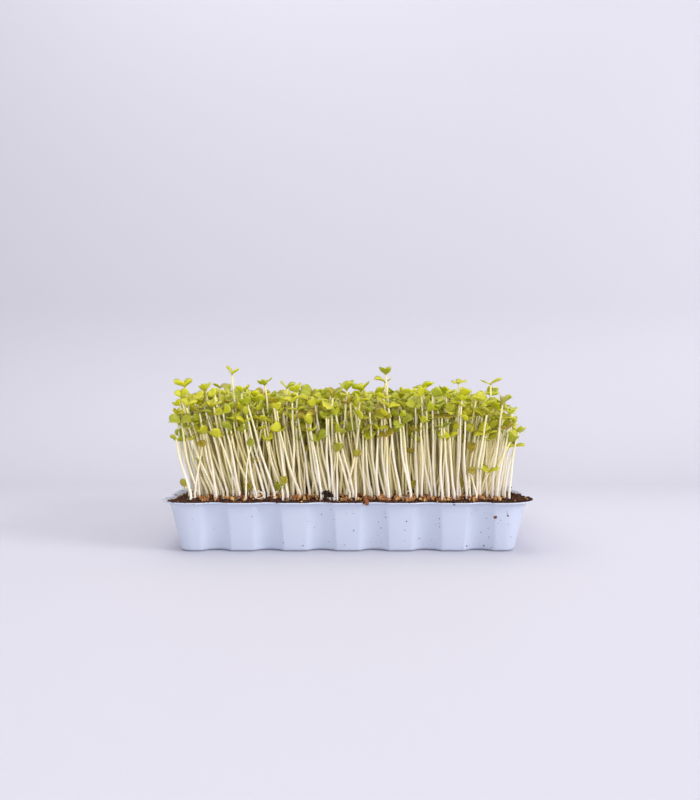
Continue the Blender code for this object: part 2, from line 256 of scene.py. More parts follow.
@dataclass(frozen=True)
class TrayPlastic:
    """Thin pale blue plastic with a soft gloss, a little dust and splashes of soil."""

    pale: Colour = (0.545, 0.590, 0.708, 1.0)
    cool: Colour = (0.515, 0.565, 0.694, 1.0)
    soil: Colour = (0.105, 0.050, 0.030, 1.0)
    speck_scale: float = 210.0
    speck_radius: float = 0.16

    def build(self) -> bpy.types.Material:
        """Make the material."""
        graph = new_finish("tray plastic")
        clouds = graph.noise(graph.place(), 24.0)
        colour = graph.mix(self.pale, self.cool, clouds.step(0.30, 0.75) * 0.6)
        dots = graph.cells(graph.place(), self.speck_scale)
        chance = graph.cells(graph.place(), self.speck_scale, "Color")
        chance = graph.add("ShaderNodeSeparateColor", None, {"Color": chance}, "Red")
        splash = graph.noise(graph.place(), 55.0, 2.0).step(0.50, 0.66)
        across = graph.add("ShaderNodeSeparateXYZ", None, {"Vector": graph.place()}, "X")
        right = across.step(-0.06, 0.04) * 0.8 + 0.2
        specks = dots.step(self.speck_radius, 0.06) * chance.step(0.80, 0.83) * splash * right
        colour = graph.mix(colour, self.soil, specks * 0.75)
        rough = clouds * 0.12 + specks * 0.4 + 0.30
        ripple = graph.noise(graph.stretched((1.0, 1.0, 0.12)), 160.0, 2.0)
        grain = graph.noise(graph.place(), 1900.0, 2.0)
        height = ripple * 0.8 + grain * 0.10 + specks
        return close_finish(
            graph,
            {
                "Base Color": colour,
                "Roughness": rough,
                "Subsurface Weight": 0.15,
                "Subsurface Radius": (0.6, 0.8, 1.0),
                "Subsurface Scale": 0.0015,
                "Normal": graph.bump(height, 0.00012, 0.5),
            },
        )


@dataclass(frozen=True)
class PottingSoil:
    """Dark peat crumbs, each with a shade of its own."""

    dark: Colour = (0.014, 0.0055, 0.0030, 1.0)
    brown: Colour = (0.082, 0.026, 0.010, 1.0)
    rust: Colour = (0.300, 0.105, 0.036, 1.0)

    def build(self) -> bpy.types.Material:
        """Make the material."""
        graph = new_finish("potting soil")
        shade = graph.value("shade")
        clumps = graph.noise(graph.place(), 420.0, 5.0, 0.7)
        colour = graph.mix(self.dark, self.brown, (clumps + shade * 0.6).step(0.42, 1.05))
        colour = graph.mix(colour, self.rust, shade.step(0.80, 1.0) * 0.75)
        fibres = graph.noise(graph.stretched((1.0, 0.35, 1.0)), 1500.0, 3.0, 0.7)
        colour = graph.mix(colour, self.rust, fibres.step(0.66, 0.78) * 0.35)
        return close_finish(
            graph,
            {
                "Base Color": colour,
                "Roughness": clumps * 0.15 + 0.80,
                "Specular IOR Level": 0.35,
                "Normal": graph.bump(clumps + fibres * 0.5, 0.0006, 0.8),
            },
        )


@dataclass(frozen=True)
class SeedHusk:
    """Dry tan husks, some yellow and some brown, with a darker scar."""

    tan: Colour = (0.440, 0.195, 0.060, 1.0)
    pale: Colour = (0.680, 0.410, 0.130, 1.0)
    brown: Colour = (0.200, 0.064, 0.020, 1.0)

    def build(self) -> bpy.types.Material:
        """Make the material."""
        graph = new_finish("seed husk")
        shade = graph.value("shade")
        mottle = graph.noise(graph.place(), 900.0, 4.0, 0.65)
        colour = graph.mix(self.tan, self.pale, shade.step(0.55, 1.0))
        colour = graph.mix(colour, self.brown, shade.step(0.42, 0.16) * 0.85)
        colour = graph.mix(colour, self.brown, mottle.step(0.56, 0.72) * 0.55)
        return close_finish(
            graph,
            {
                "Base Color": colour,
                "Roughness": mottle * 0.2 + 0.48,
                "Subsurface Weight": 0.2,
                "Subsurface Radius": (1.0, 0.6, 0.3),
                "Subsurface Scale": 0.0008,
                "Normal": graph.bump(mottle, 0.0002, 0.6),
            },
        )


@dataclass(frozen=True)
class SeedlingStem:
    """Watery creamy stems, whiter at the foot, yellow-green towards the leaves, with painted light
    inside.
    """

    cream: Colour = (0.870, 0.785, 0.645, 1.0)
    foot: Colour = (0.885, 0.790, 0.710, 1.0)
    green: Colour = (0.770, 0.690, 0.240, 1.0)
    # Painted light: the warm khaki glow of light filtered through the stand, given to its inner
    # stems.
    painted_inner_light: Colour = (0.950, 0.800, 0.370, 1.0)
    blush: Colour = (0.760, 0.520, 0.340, 1.0)

    def build(self) -> bpy.types.Material:
        """Make the material."""
        graph = new_finish("seedling stem")
        along = graph.value("along")
        tint = graph.value("tint")
        streaks = graph.noise(graph.stretched((1.0, 1.0, 0.04)), 2600.0, 2.0)
        colour = graph.mix(self.foot, self.cream, along.step(0.02, 0.25))
        colour = graph.mix(colour, self.green, along.step(0.25, 1.0) * (tint * 0.45 + 0.35))
        colour = graph.mix(colour, self.blush, tint.step(0.82, 0.97) * along.step(0.4, 0.9) * 0.5)
        colour = graph.mix(colour, self.foot, streaks.step(0.55, 0.80) * 0.5)
        # Painted light: stems further inside the stand turn khaki, for the filtered light that
        # reaches them.
        colour = graph.mix(colour, self.painted_inner_light, graph.value("deep") * 0.85)
        return close_finish(
            graph,
            {
                "Base Color": colour,
                "Roughness": streaks * 0.15 + 0.34,
                "Subsurface Weight": 0.55,
                "Subsurface Radius": (1.0, 0.85, 0.45),
                "Subsurface Scale": 0.0022,
                "Normal": graph.bump(streaks, 0.00008, 0.5),
            },
        )


@dataclass(frozen=True)
class SeedLeaf:
    """Juicy seed leaves: lime in the light, some olive, with pale veins and a few brown edges."""

    lime: Colour = (0.570, 0.545, 0.016, 1.0)
    grass: Colour = (0.325, 0.350, 0.013, 1.0)
    olive: Colour = (0.350, 0.230, 0.012, 1.0)
    vein: Colour = (0.600, 0.620, 0.160, 1.0)
    burnt: Colour = (0.250, 0.095, 0.025, 1.0)

    def build(self) -> bpy.types.Material:
        """Make the material."""
        graph = new_finish("seed leaf")
        tint = graph.value("tint")
        across = graph.value("across")
        along = graph.value("along")
        clouds = graph.noise(graph.place(), 260.0, 3.0)
        colour = graph.mix(self.lime, self.grass, (tint + clouds * 0.5).step(0.45, 1.05))
        colour = graph.mix(colour, self.olive, tint.step(0.74, 0.96) * 0.85)
        wave = across * 6.0 - along * 13.0
        ribs = graph.add("ShaderNodeMath", {"operation": "PINGPONG"}, {0: wave, 1: 1.0})
        veins = ribs.step(0.16, 0.02) * across.step(0.95, 0.4) * 0.5
        veins = veins + across.step(0.09, 0.02)
        colour = graph.mix(colour, self.vein, veins * 0.45)
        edge = across.step(0.86, 1.0)
        colour = graph.mix(colour, self.vein, edge * 0.35)
        browned = edge * tint.step(0.80, 0.90) * clouds.step(0.35, 0.6)
        colour = graph.mix(colour, self.burnt, browned)
        spots = graph.cells(graph.place(), 700.0).step(0.20, 0.08) * tint.step(0.86, 0.95)
        colour = graph.mix(colour, self.burnt, spots * 0.6)
        return close_finish(
            graph,
            {
                "Base Color": colour,
                "Roughness": clouds * 0.16 + 0.33,
                "Specular IOR Level": 0.45,
                "Subsurface Weight": 0.45,
                "Subsurface Radius": (0.8, 1.0, 0.15),
                "Subsurface Scale": 0.0016,
                "Normal": graph.bump(clouds * 0.4 - veins, 0.00015, 0.6),
            },
        )


@dataclass(frozen=True)
class PaleRoot:
    """Thin white roots, browned where they touch the soil."""

    white: Colour = (0.800, 0.740, 0.640, 1.0)
    dusty: Colour = (0.430, 0.300, 0.190, 1.0)

    def build(self) -> bpy.types.Material:
        """Make the material."""
        graph = new_finish("pale root")
        dust = graph.noise(graph.place(), 900.0, 3.0)
        colour = graph.mix(self.white, self.dusty, dust.step(0.45, 0.75))
        rough = dust * 0.2 + 0.5
        normal = graph.bump(dust, 0.0001, 0.5)
        return close_finish(graph, {"Base Color": colour, "Roughness": rough, "Normal": normal})


@dataclass(frozen=True)
class Finishes:
    """Every finish of the object."""

    tray: bpy.types.Material
    soil: bpy.types.Material
    husk: bpy.types.Material
    stem: bpy.types.Material
    leaf: bpy.types.Material
    root: bpy.types.Material


# Meshes and pieces


def add_object(name: str, mesh: bpy.types.Mesh) -> bpy.types.Object:
    """Put a mesh into the scene as an object at the origin."""
    made = bpy.data.objects.new(name, mesh)
    bpy.context.scene.collection.objects.link(made)
    return made


def add_mesh(
    name: str,
    points: list[Vector],
    faces: list[tuple[int, ...]],
    numbers: dict[str, list] | None = None,
    edges: list[tuple[int, int]] | None = None,
) -> bpy.types.Object:
    """A mesh object from its points.

    Args:
        name: the object's name.
        points: the places of its points.
        faces: its faces.
        numbers: numbers that the points carry, by name.
        edges: its loose edges.

    Returns:
        The object, in the scene.
    """
    mesh = bpy.data.meshes.new(name)
    mesh.from_pydata([tuple(point) for point in points], edges or [], faces)
    for key, values in (numbers or {}).items():
        if isinstance(values[0], Vector):
            flat = [part for value in values for part in value]
            mesh.attributes.new(key, "FLOAT_VECTOR", "POINT").data.foreach_set("vector", flat)
        else:
            mesh.attributes.new(key, "FLOAT", "POINT").data.foreach_set("value", values)
    mesh.shade_smooth()
    return add_object(name, mesh)


def freeze(thing: bpy.types.Object) -> bpy.types.Object:
    """Apply everything that is on an object, so that it is a plain mesh."""
    graph = bpy.context.evaluated_depsgraph_get()
    mesh = bpy.data.meshes.new_from_object(thing.evaluated_get(graph))
    thing.modifiers.clear()
    thing.data = mesh
    mesh.name = thing.name
    return thing


def dress(thing: bpy.types.Object, slot: Slot, replaced: tuple[str, ...] = ()) -> None:
    """Make an object one of the model's pieces.

    Args:
        thing: the finished object.
        slot: the record's finish that it would take; not used.
        replaced: the plain nodes that it stands for.
    """
    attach(thing, BODY)
    if replaced:
        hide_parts(*replaced)
    triangles = sum(len(face.vertices) - 2 for face in thing.data.polygons)
    LOG.info("%s: %d triangles", thing.name, triangles)


def remove(things: list[bpy.types.Object]) -> None:
    """Take helper objects out of the file."""
    for thing in things:
        bpy.data.objects.remove(thing)


class ShapeSet:
    """A few shapes of one kind, kept in a collection for Geometry Nodes to draw from."""

    def __init__(self, name: str) -> None:
        self.collection = bpy.data.collections.new(name)

    def keep(self, thing: bpy.types.Object) -> None:
        """Move a shape into the set."""
        for holder in list(thing.users_collection):
            holder.objects.unlink(thing)
        self.collection.objects.link(thing)

    def discard(self) -> None:
        """Remove the set and its shapes."""
        remove(list(self.collection.objects))
        bpy.data.collections.remove(self.collection)


class GeometryTree:
    """A Geometry Nodes tree that starts from an object's mesh and has named inputs."""

    def __init__(self, name: str) -> None:
        self.tree = bpy.data.node_groups.new(name, "GeometryNodeTree")
        kind = "NodeSocketGeometry"
        for way in ("INPUT", "OUTPUT"):
            self.tree.interface.new_socket("Geometry", in_out=way, socket_type=kind)
        self.graph = Graph(self.tree)
        self.source = self.tree.nodes.new("NodeGroupInput")
        self.identifiers: dict[str, str] = {}

    @property
    def geometry(self) -> Wire:
        """The object's own mesh."""
        return Wire(self.graph, self.source.outputs[0])

    def input(self, name: str, kind: str) -> Wire:
        """A named input.

        Args:
            name: the input's name.
            kind: the socket's type.

        Returns:
            The input's value inside the tree.
        """
        item = self.tree.interface.new_socket(name, in_out="INPUT", socket_type=kind)
        self.identifiers[name] = item.identifier
        return Wire(self.graph, self.graph.find(self.source.outputs, name))

    def attribute(self, name: str, kind: str = "FLOAT") -> Wire:
        """A value that the mesh carries under a name."""
        settings = {"data_type": kind}
        return self.graph.add("GeometryNodeInputNamedAttribute", settings, {"Name": name})

    def random(self, kind: str, low: object, high: object, seed: Wire) -> Wire:
        """A random value for each point."""
        sockets = {"Min": low, "Max": high, "Seed": seed}
        return self.graph.add("FunctionNodeRandomValue", {"data_type": kind}, sockets, "Value")

    def choice(self, shapes: Wire) -> Wire:
        """The shapes of a collection, one instance each."""
        sockets = {"Collection": shapes, "Separate Children": True, "Reset Children": True}
        return self.graph.add("GeometryNodeCollectionInfo", None, sockets)

    def finished(self, geometry: Wire, finish: Wire) -> Wire:
        """Real geometry with its finish on it."""
        real = self.graph.add("GeometryNodeRealizeInstances", None, {"Geometry": geometry})
        sockets = {"Geometry": real, "Material": finish}
        return self.graph.add("GeometryNodeSetMaterial", None, sockets)

    def close(self, result: Wire) -> None:
        """Make a wire the tree's result."""
        self.graph.end("NodeGroupOutput", result)

    def grow(self, thing: bpy.types.Object, inputs: dict[str, object]) -> bpy.types.Object:
        """Run the tree on an object and keep its result as a plain mesh.

        Args:
            thing: the object.
            inputs: the values of the named inputs.

        Returns:
            The same object, with the result as its mesh.
        """
        modifier = thing.modifiers.new(self.tree.name, "NODES")
        modifier.node_group = self.tree
        for name, value in inputs.items():
            modifier[self.identifiers[name]] = value
        return freeze(thing)


class SproutTree(GeometryTree):
    """Tubes along the mesh's lines, and a shape on each of its loose points."""

    def __init__(self) -> None:
        super().__init__("Tubes and placed shapes")
        sides = self.input("Tube Sides", "NodeSocketInt")
        tube_finish = self.input("Tube Finish", "NodeSocketMaterial")
        shape_finish = self.input("Shape Finish", "NodeSocketMaterial")
        shapes = self.input("Shapes", "NodeSocketCollection")
        add = self.graph.add
        split = add(
            "GeometryNodeSeparateGeometry",
            {"domain": "POINT"},
            {"Geometry": self.geometry, "Selection": self.attribute("is_shape")},
        )
        euler = {"Euler": self.attribute("turn", "FLOAT_VECTOR")}
        placed = add(
            "GeometryNodeInstanceOnPoints",
            None,
            {
                "Points": add("GeometryNodeMeshToPoints", None, {"Mesh": split}),
                "Instance": self.choice(shapes),
                "Pick Instance": True,
                "Instance Index": self.attribute("shape", "INT"),
                "Rotation": add("FunctionNodeEulerToRotation", None, euler),
                "Scale": self.attribute("size"),
            },
        )
        ring = add("GeometryNodeCurvePrimitiveCircle", None, {"Resolution": sides, "Radius": 1.0})
        tube = add(
            "GeometryNodeCurveToMesh",
            None,
            {
                "Curve": add("GeometryNodeMeshToCurve", None, {"Mesh": split.other("Inverted")}),
                "Profile Curve": ring,
                "Scale": self.attribute("radius"),
                "Fill Caps": True,
            },
        )
        parts = [self.finished(placed, shape_finish), self.finished(tube, tube_finish)]
        self.close(add("GeometryNodeJoinGeometry", None, {"Geometry": parts}))


class ScatterTree(GeometryTree):
    """Shapes scattered over the open part of a surface, half sunk in it, mostly small ones."""

    size_power = 3.0
    last_index = 100

    def __init__(self) -> None:
        super().__init__("Scattered shapes")
        density = self.input("Density", "NodeSocketFloat")
        seed = self.input("Seed", "NodeSocketInt")
        smallest = self.input("Smallest", "NodeSocketFloat")
        largest = self.input("Largest", "NodeSocketFloat")
        tilt = self.input("Tilt", "NodeSocketFloat")
        shapes = self.input("Shapes", "NodeSocketCollection")
        finish = self.input("Finish", "NodeSocketMaterial")
        add = self.graph.add
        spots = add(
            "GeometryNodeDistributePointsOnFaces",
            {"distribute_method": "RANDOM"},
            {
                "Mesh": self.geometry,
                "Selection": self.attribute("open"),
                "Density": density,
                "Seed": seed,
            },
        )
        sizes = self.random("FLOAT", 0.0, 1.0, seed + 1) ** self.size_power
        low = add("ShaderNodeCombineXYZ", None, {0: tilt * -1.0, 1: tilt * -1.0, 2: 0.0})
        high = add("ShaderNodeCombineXYZ", None, {0: tilt, 1: tilt, 2: math.tau})
        turn = {"Euler": self.random("FLOAT_VECTOR", low, high, seed + 2)}
        placed = add(
            "GeometryNodeInstanceOnPoints",
            None,
            {
                "Points": spots,
                "Instance": self.choice(shapes),
                "Pick Instance": True,
                "Instance Index": self.random("INT", 0, self.last_index, seed + 3),
                "Rotation": add("FunctionNodeEulerToRotation", None, turn),
                "Scale": smallest + (largest - smallest) * sizes,
            },
        )
        shade = self.random("FLOAT", 0.0, 1.0, seed + 4)
        stored = add(
            "GeometryNodeStoreNamedAttribute",
            {"data_type": "FLOAT", "domain": "INSTANCE"},
            {"Geometry": placed, "Name": "shade", "Value": shade},
        )
        self.close(self.finished(stored, finish))


# The tray


@dataclass(frozen=True)
class TrayOutline:
    """The tray's plan: a rectangle with round corners and hollows along its sides."""

    rim_length: float = 0.230
    rim_width: float = 0.158
    lip_reach: float = 0.0055
    corner_radius: float = 0.0145
    corner_steps: int = 9
    flute_steps: int = 8
    edge_ease: float = 0.0012
    ease_steps: int = 3
    long_flutes: int = 6
    short_flutes: int = 4
    long_pitch: float = 0.0322
    short_pitch: float = 0.0304
    foot_flute: Pair = (0.0048, 0.0182)
    lip_flute: Pair = (0.0030, 0.0152)
    lip_gap: float = 0.0002
    least_mitre: float = 0.5

    def flute(self, centre: float, depth: float, width: float) -> list[Vector]:
        """One hollow, a round arc with eased edges, as (distance along the side, depth) points."""
        radius = (width**2 / 4 + depth**2) / (2 * depth)
        swing = math.asin(min(1.0, width / 2 / radius)) - self.edge_ease / radius
        arc = []
        for step in range(self.flute_steps + 1):
            angle = blend(-swing, swing, step / self.flute_steps)
            deep = radius * (math.cos(angle) - 1) + depth
            arc.append(Vector((centre + radius * math.sin(angle), deep)))
        before = self.eased(arc[0], centre - width / 2, -1)
        after = self.eased(arc[-1], centre + width / 2, 1)
        return before + arc + after

    def eased(self, end: Vector, corner: float, way: int) -> list[Vector]:
        """The soft bend between a side's straight face and an end of a hollow's arc.

        Args:
            end: that end of the arc.
            corner: where a sharp edge would lie along the side.
            way: -1 where the bend comes before the arc and 1 where it follows.

        Returns:
            The bend's points, in the order of the outline.
        """
        edge = Vector((corner, 0.0))
        start = Vector((corner + way * self.edge_ease, 0.0))
        bend = []
        for step in range(self.ease_steps):
            share = step / self.ease_steps
            bend.append(blend(blend(start, edge, share), blend(edge, end, share), share))
        return bend[::-way]

    def side(
        self, count: int, pitch: float, half: float, depth: float, width: float
    ) -> list[Pair]:
        """The hollows of one side, as (distance along it, distance from the middle) points.

        Args:
            count: how many hollows there are.
            pitch: how far apart they are.
            half: how far the side's straight face lies from the middle.
            depth: the depth of a hollow.
            width: its width.

        Returns:
            The points, in the order of the outline.
        """
        first = -(count - 1) / 2 * pitch
        found = []
        for number in range(count):
            for along, deep in self.flute(first + number * pitch, depth, width):
                found.append((along, half - deep))
        return found

    def ring(self, reach: float, change: float) -> list[Vector]:
        """The outline at one height, anticlockwise seen from above.

        Args:
            reach: how far the wall stands beyond its own top.
            change: from 0 for the hollows' shape at the foot to 1 for that at the lip.

        Returns:
            Its points in plan.
        """
        depth = blend(self.foot_flute[0], self.lip_flute[0], change)
        width = blend(self.foot_flute[1], self.lip_flute[1], change)
        half_x = self.rim_length / 2 - self.lip_reach + reach
        half_y = self.rim_width / 2 - self.lip_reach + reach
        radius = self.corner_radius + reach
        sides = (
            self.side(self.short_flutes, self.short_pitch, half_x, depth, width),
            self.side(self.long_flutes, self.long_pitch, half_y, depth, width),
        ) * 2
        points = []
        for quarter, fluted in enumerate(sides):
            turn = Matrix.Rotation(quarter * math.pi / 2, 2)
            across, along = (half_x, half_y) if quarter % 2 == 0 else (half_y, half_x)
            points += [turn @ Vector((out, place)) for place, out in fluted]
            for step in range(self.corner_steps + 1):
                angle = step / self.corner_steps * math.pi / 2
                corner = Vector((across - radius, along - radius))
                corner += radius * Vector((math.cos(angle), math.sin(angle)))
                points.append(turn @ corner)
        return points

    def press_inside(self, piece: bpy.types.Object) -> None:
        """Press what stands out a little beyond the lip back to it."""
        half_x = self.rim_length / 2 - self.lip_gap
        half_y = self.rim_width / 2 - self.lip_gap
        for vertex in piece.data.vertices:
            vertex.co.x = min(half_x, max(-half_x, vertex.co.x))
            vertex.co.y = min(half_y, max(-half_y, vertex.co.y))

    def inward(self, points: list[Vector], distance: float) -> list[Vector]:
        """The same outline, drawn in by a distance square to its edges."""
        moved = []
        neighbours = zip(points[-1:] + points[:-1], points, points[1:] + points[:1])
        for before, here, after in neighbours:
            first = (here - before).normalized()
            second = (after - here).normalized()
            normal = Vector((-first.y - second.y, first.x + second.x)).normalized()
            mitre = normal.dot(Vector((-first.y, first.x)))
            moved.append(here + normal * distance / max(mitre, self.least_mitre))
        return moved


def bridge(rings: int, count: int) -> list[tuple[int, ...]]:
    """Quads between neighbouring rings of count points each."""
    faces = []
    for ring in range(rings - 1):
        low, high = ring * count, (ring + 1) * count
        for n in range(count):
            after = (n + 1) % count
            faces.append((low + n, low + after, high + after, high + n))
    return faces


@dataclass
class Tray:
    """The thin tray, with fluted walls and a trumpet-shaped lip."""

    finish: bpy.types.Material
    outline: TrayOutline = TrayOutline()
    wall: float = 0.00085
    edge_round: float = 0.00026
    edge_segments: int = 2
    # Edges steeper than this are rounded, and then those steeper than the next stay sharp.
    round_from: float = math.radians(48)
    sharp_from: float = math.radians(36)
    front: float = -0.060
    # Rings of the outer face: reach, height and the change of the hollows' shape.
    rings: tuple[Point, ...] = (
        (-0.0094, 0.0, 0.0),
        (-0.0076, 0.0003, 0.0),
        (-0.0066, 0.0007, 0.0),
        (-0.0060, 0.0014, 0.02),
        (-0.00575, 0.0021, 0.05),
        (-0.0040, 0.0095, 0.28),
        (-0.0022, 0.0170, 0.52),
        (-0.0005, 0.0242, 0.76),
        (0.0001, 0.0264, 0.83),
        (0.0008, 0.0281, 0.88),
        (0.0018, 0.0294, 0.93),
        (0.0031, 0.0302, 0.97),
        (0.0043, 0.0305, 1.0),
        (0.0054, 0.0306, 1.0),
    )

    def wall_point(self, x: float, z: float) -> Vector:
        """The place on the front wall's outer face at a distance along it and a height."""
        pairs = list(zip(self.rings, self.rings[1:]))
        low, high = next((pair for pair in pairs if pair[0][1] <= z < pair[1][1]), pairs[-1])
        share = (z - low[1]) / (high[1] - low[1])
        ring = self.outline.ring(blend(low[0], high[0], share), blend(low[2], high[2], share))
        front = [point for point in ring if point.y < self.front]
        front.sort(key=lambda point: point.x)
        for here, after in zip(front, front[1:]):
            if here.x <= x < after.x:
                y = blend(here.y, after.y, (x - here.x) / (after.x - here.x))
                return Vector((x, y, z))
        return Vector((x, front[0].y, z))

    def build(self) -> None:
        """Make the tray and dress it."""
        points = []
        for reach, height, change in self.rings:
            points += [Vector((p.x, p.y, height)) for p in self.outline.ring(reach, change)]
        count = len(points) // len(self.rings)
        faces = bridge(len(self.rings), count)
        faces.append(tuple(reversed(range(count))))
        tray = add_mesh("tray_shell", points, faces)
        shell = tray.modifiers.new("Wall", "SOLIDIFY")
        shell.thickness = self.wall
        shell.offset = -1.0
        shell.use_even_offset = True
        shell.use_quality_normals = True
        edge = tray.modifiers.new("Edges", "BEVEL")
        edge.width = self.edge_round
        edge.segments = self.edge_segments
        edge.angle_limit = self.round_from
        freeze(tray)
        tray.data.set_sharp_from_angle(angle=self.sharp_from)
        tray.data.materials.append(self.finish)
        dress(tray, Slot.TRAY, ("tray",))


# Small shapes that are repeated


@dataclass(frozen=True)
class CrumbShapes:
    """Rough crumbs of one unit across, made from few faces."""

    kinds: int = 6
    subdivisions: int = 1
    roughness: float = 0.42
    stretch: Pair = (0.7, 1.25)
    seed: int = 3

    def build(self) -> ShapeSet:
        """Make the set."""
        draw = random.Random(self.seed)
        shapes = ShapeSet("crumbs")
        for kind in range(self.kinds):
            work = bmesh.new()
            bmesh.ops.create_icosphere(work, subdivisions=self.subdivisions, radius=0.5)
            stretch = Vector([draw.uniform(*self.stretch) for _ in range(3)])
            for vertex in work.verts:
                vertex.co *= 1 + self.roughness * draw.uniform(-1, 1)
                vertex.co *= stretch
            mesh = bpy.data.meshes.new(f"crumb {kind}")
            work.to_mesh(mesh)
            work.free()
            mesh.shade_smooth()
            shapes.keep(add_object(mesh.name, mesh))
        return shapes


@dataclass(frozen=True)
class HuskShapes:
    """Empty seed husks of one unit long: open half shells, creased along the middle."""

    kinds: int = 4
    rows: int = 3
    steps: int = 7
    wall: float = 0.10
    half_length: float = 0.5
    narrow: float = 0.72
    height: float = 0.36
    squashes: Pair = (0.75, 1.2)
    uneven: float = 0.08
    seed: int = 5

    def shell_point(self, row: int, step: int, lift: float, squash: float) -> Vector:
        """A point of the shell, by its row from the rim to the back and its step round."""
        polar = row / self.rows * math.pi / 2
        angle = step / self.steps * math.tau
        reach = math.cos(polar) * (self.half_length - lift)
        rise = math.sin(polar) * (self.height - lift) * squash
        return Vector((reach * math.cos(angle), reach * math.sin(angle) * self.narrow, rise))

    def build(self) -> ShapeSet:
        """Make the set."""
        draw = random.Random(self.seed)
        shapes = ShapeSet("husks")
        for kind in range(self.kinds):
            squash = draw.uniform(*self.squashes)
            points = []
            for lift in (0.0, self.wall):
                for row in range(self.rows):
                    for step in range(self.steps):
                        points.append(self.shell_point(row, step, lift, squash))
                points.append(self.shell_point(self.rows, 0, lift, squash))
            half = self.rows * self.steps + 1
            outer = bridge(self.rows, self.steps)
            last = (self.rows - 1) * self.steps
            for n in range(self.steps):
                outer.append((last + n, last + (n + 1) % self.steps, half - 1))
            faces = outer + [tuple(half + i for i in reversed(face)) for face in outer]
            for n in range(self.steps):
                after = (n + 1) % self.steps
                faces.append((after, n, half + n, half + after))
            points = [point * (1 + draw.uniform(-self.uneven, self.uneven)) for point in points]
            shapes.keep(add_mesh(f"husk {kind}", points, faces))
        return shapes


@dataclass(frozen=True)
class LeafShape:
    """One heart-shaped seed leaf with its stalk at the origin, along +Y, thin at its edge."""

    cup: float = 0.0012
    arch: float = 0.0011
    wave: float = 0.0002
    skew: float = 0.0
    length: float = 0.0082
    width: float = 0.0074
    fork_height: float = 0.0010
    thick: float = 0.00042
    stalk: float = 0.00085
    stalk_end: float = 0.30
    cup_power: float = 1.3
    edge_power: float = 2.2
    wave_pace: Pair = (6.0, 2.5)
    # The groove along the midrib: depth, half width, where it starts and how long it deepens.
    groove: tuple[float, float, float, float] = (0.00022, 0.16, 0.1, 0.3)
    rows: int = 8
    shares: tuple[float, ...] = (0.0, 0.58, 1.0)
    edge: tuple[Pair, ...] = (
        (0.13, -0.03),
        (0.19, 0.07),
        (0.62, 0.17),
        (0.94, 0.38),
        (1.04, 0.62),
        (0.95, 0.84),
        (0.67, 0.98),
        (0.32, 0.98),
        (0.0, 0.86),
    )

    def surface_point(self, u: float, v: float, side: float, share: float) -> Vector:
        """A point of the leaf.

        Args:
            u: its place across, from -1 to 1.
            v: its place along, from the stalk to the tip.
            side: 1 for the upper face and -1 for the lower.
            share: 0 on the midrib and 1 on the edge.

        Returns:
            The point.
        """
        half = blend(self.stalk, self.thick, smooth(v / self.stalk_end)) / 2
        depth, reach, start, length = self.groove
        groove = depth * math.exp(-((u / reach) ** 2)) * ramp(v, start, length)
        cup = self.cup * abs(u) ** self.cup_power
        height = self.fork_height - half + cup - self.arch * v * v - groove
        pace_v, pace_u = self.wave_pace
        height += self.wave * math.sin(pace_v * v + pace_u * u) * u * u + self.skew * u * v
        height += side * half * math.sqrt(max(0.0, 1 - share**self.edge_power))
        return Vector((u * self.width / 2, v * self.length, height))

    def build(self, name: str) -> bpy.types.Object:
        """Make the leaf as a closed mesh."""
        points, across, along = [], [], []
        index = {}
        columns = [-share for share in reversed(self.shares[1:])] + list(self.shares)
        for side in (1, -1):
            for row in range(self.rows + 1):
                edge_u, edge_v = self.edge[row]
                middle_v = blend(0.0, self.edge[-1][1], row / self.rows)
                for column, share in enumerate(columns):
                    on_edge = abs(share) == 1.0 or row == self.rows
                    key = (0 if on_edge else side, row, 0 if row == self.rows else column)
                    if key not in index:
                        index[key] = len(points)
                        u = edge_u * share
                        v = blend(middle_v, edge_v, abs(share))
                        out = 1.0 if on_edge else abs(share)
                        points.append(self.surface_point(u, v, side, out))
                        across.append(abs(share))
                        along.append(v)
                    index[(side, row, column)] = index[key]
        faces = []
        for side in (1, -1):
            for row in range(self.rows):
                for column in range(len(columns) - 1):
                    low, high = (row, column), (row, column + 1)
                    corners = [low, high, (row + 1, column + 1), (row + 1, column)]
                    face = [index[(side, *corner)] for corner in corners[::side]]
                    faces.append(tuple(dict.fromkeys(face)))
        last = len(columns) - 1
        upper = [index[(1, 0, column)] for column in range(last + 1)]
        lower = [index[(-1, 0, column)] for column in range(1, last)]
        faces.append(tuple(reversed(upper)) + tuple(lower))
        return add_mesh(name, points, faces, {"across": across, "along": along})


# The seedlings


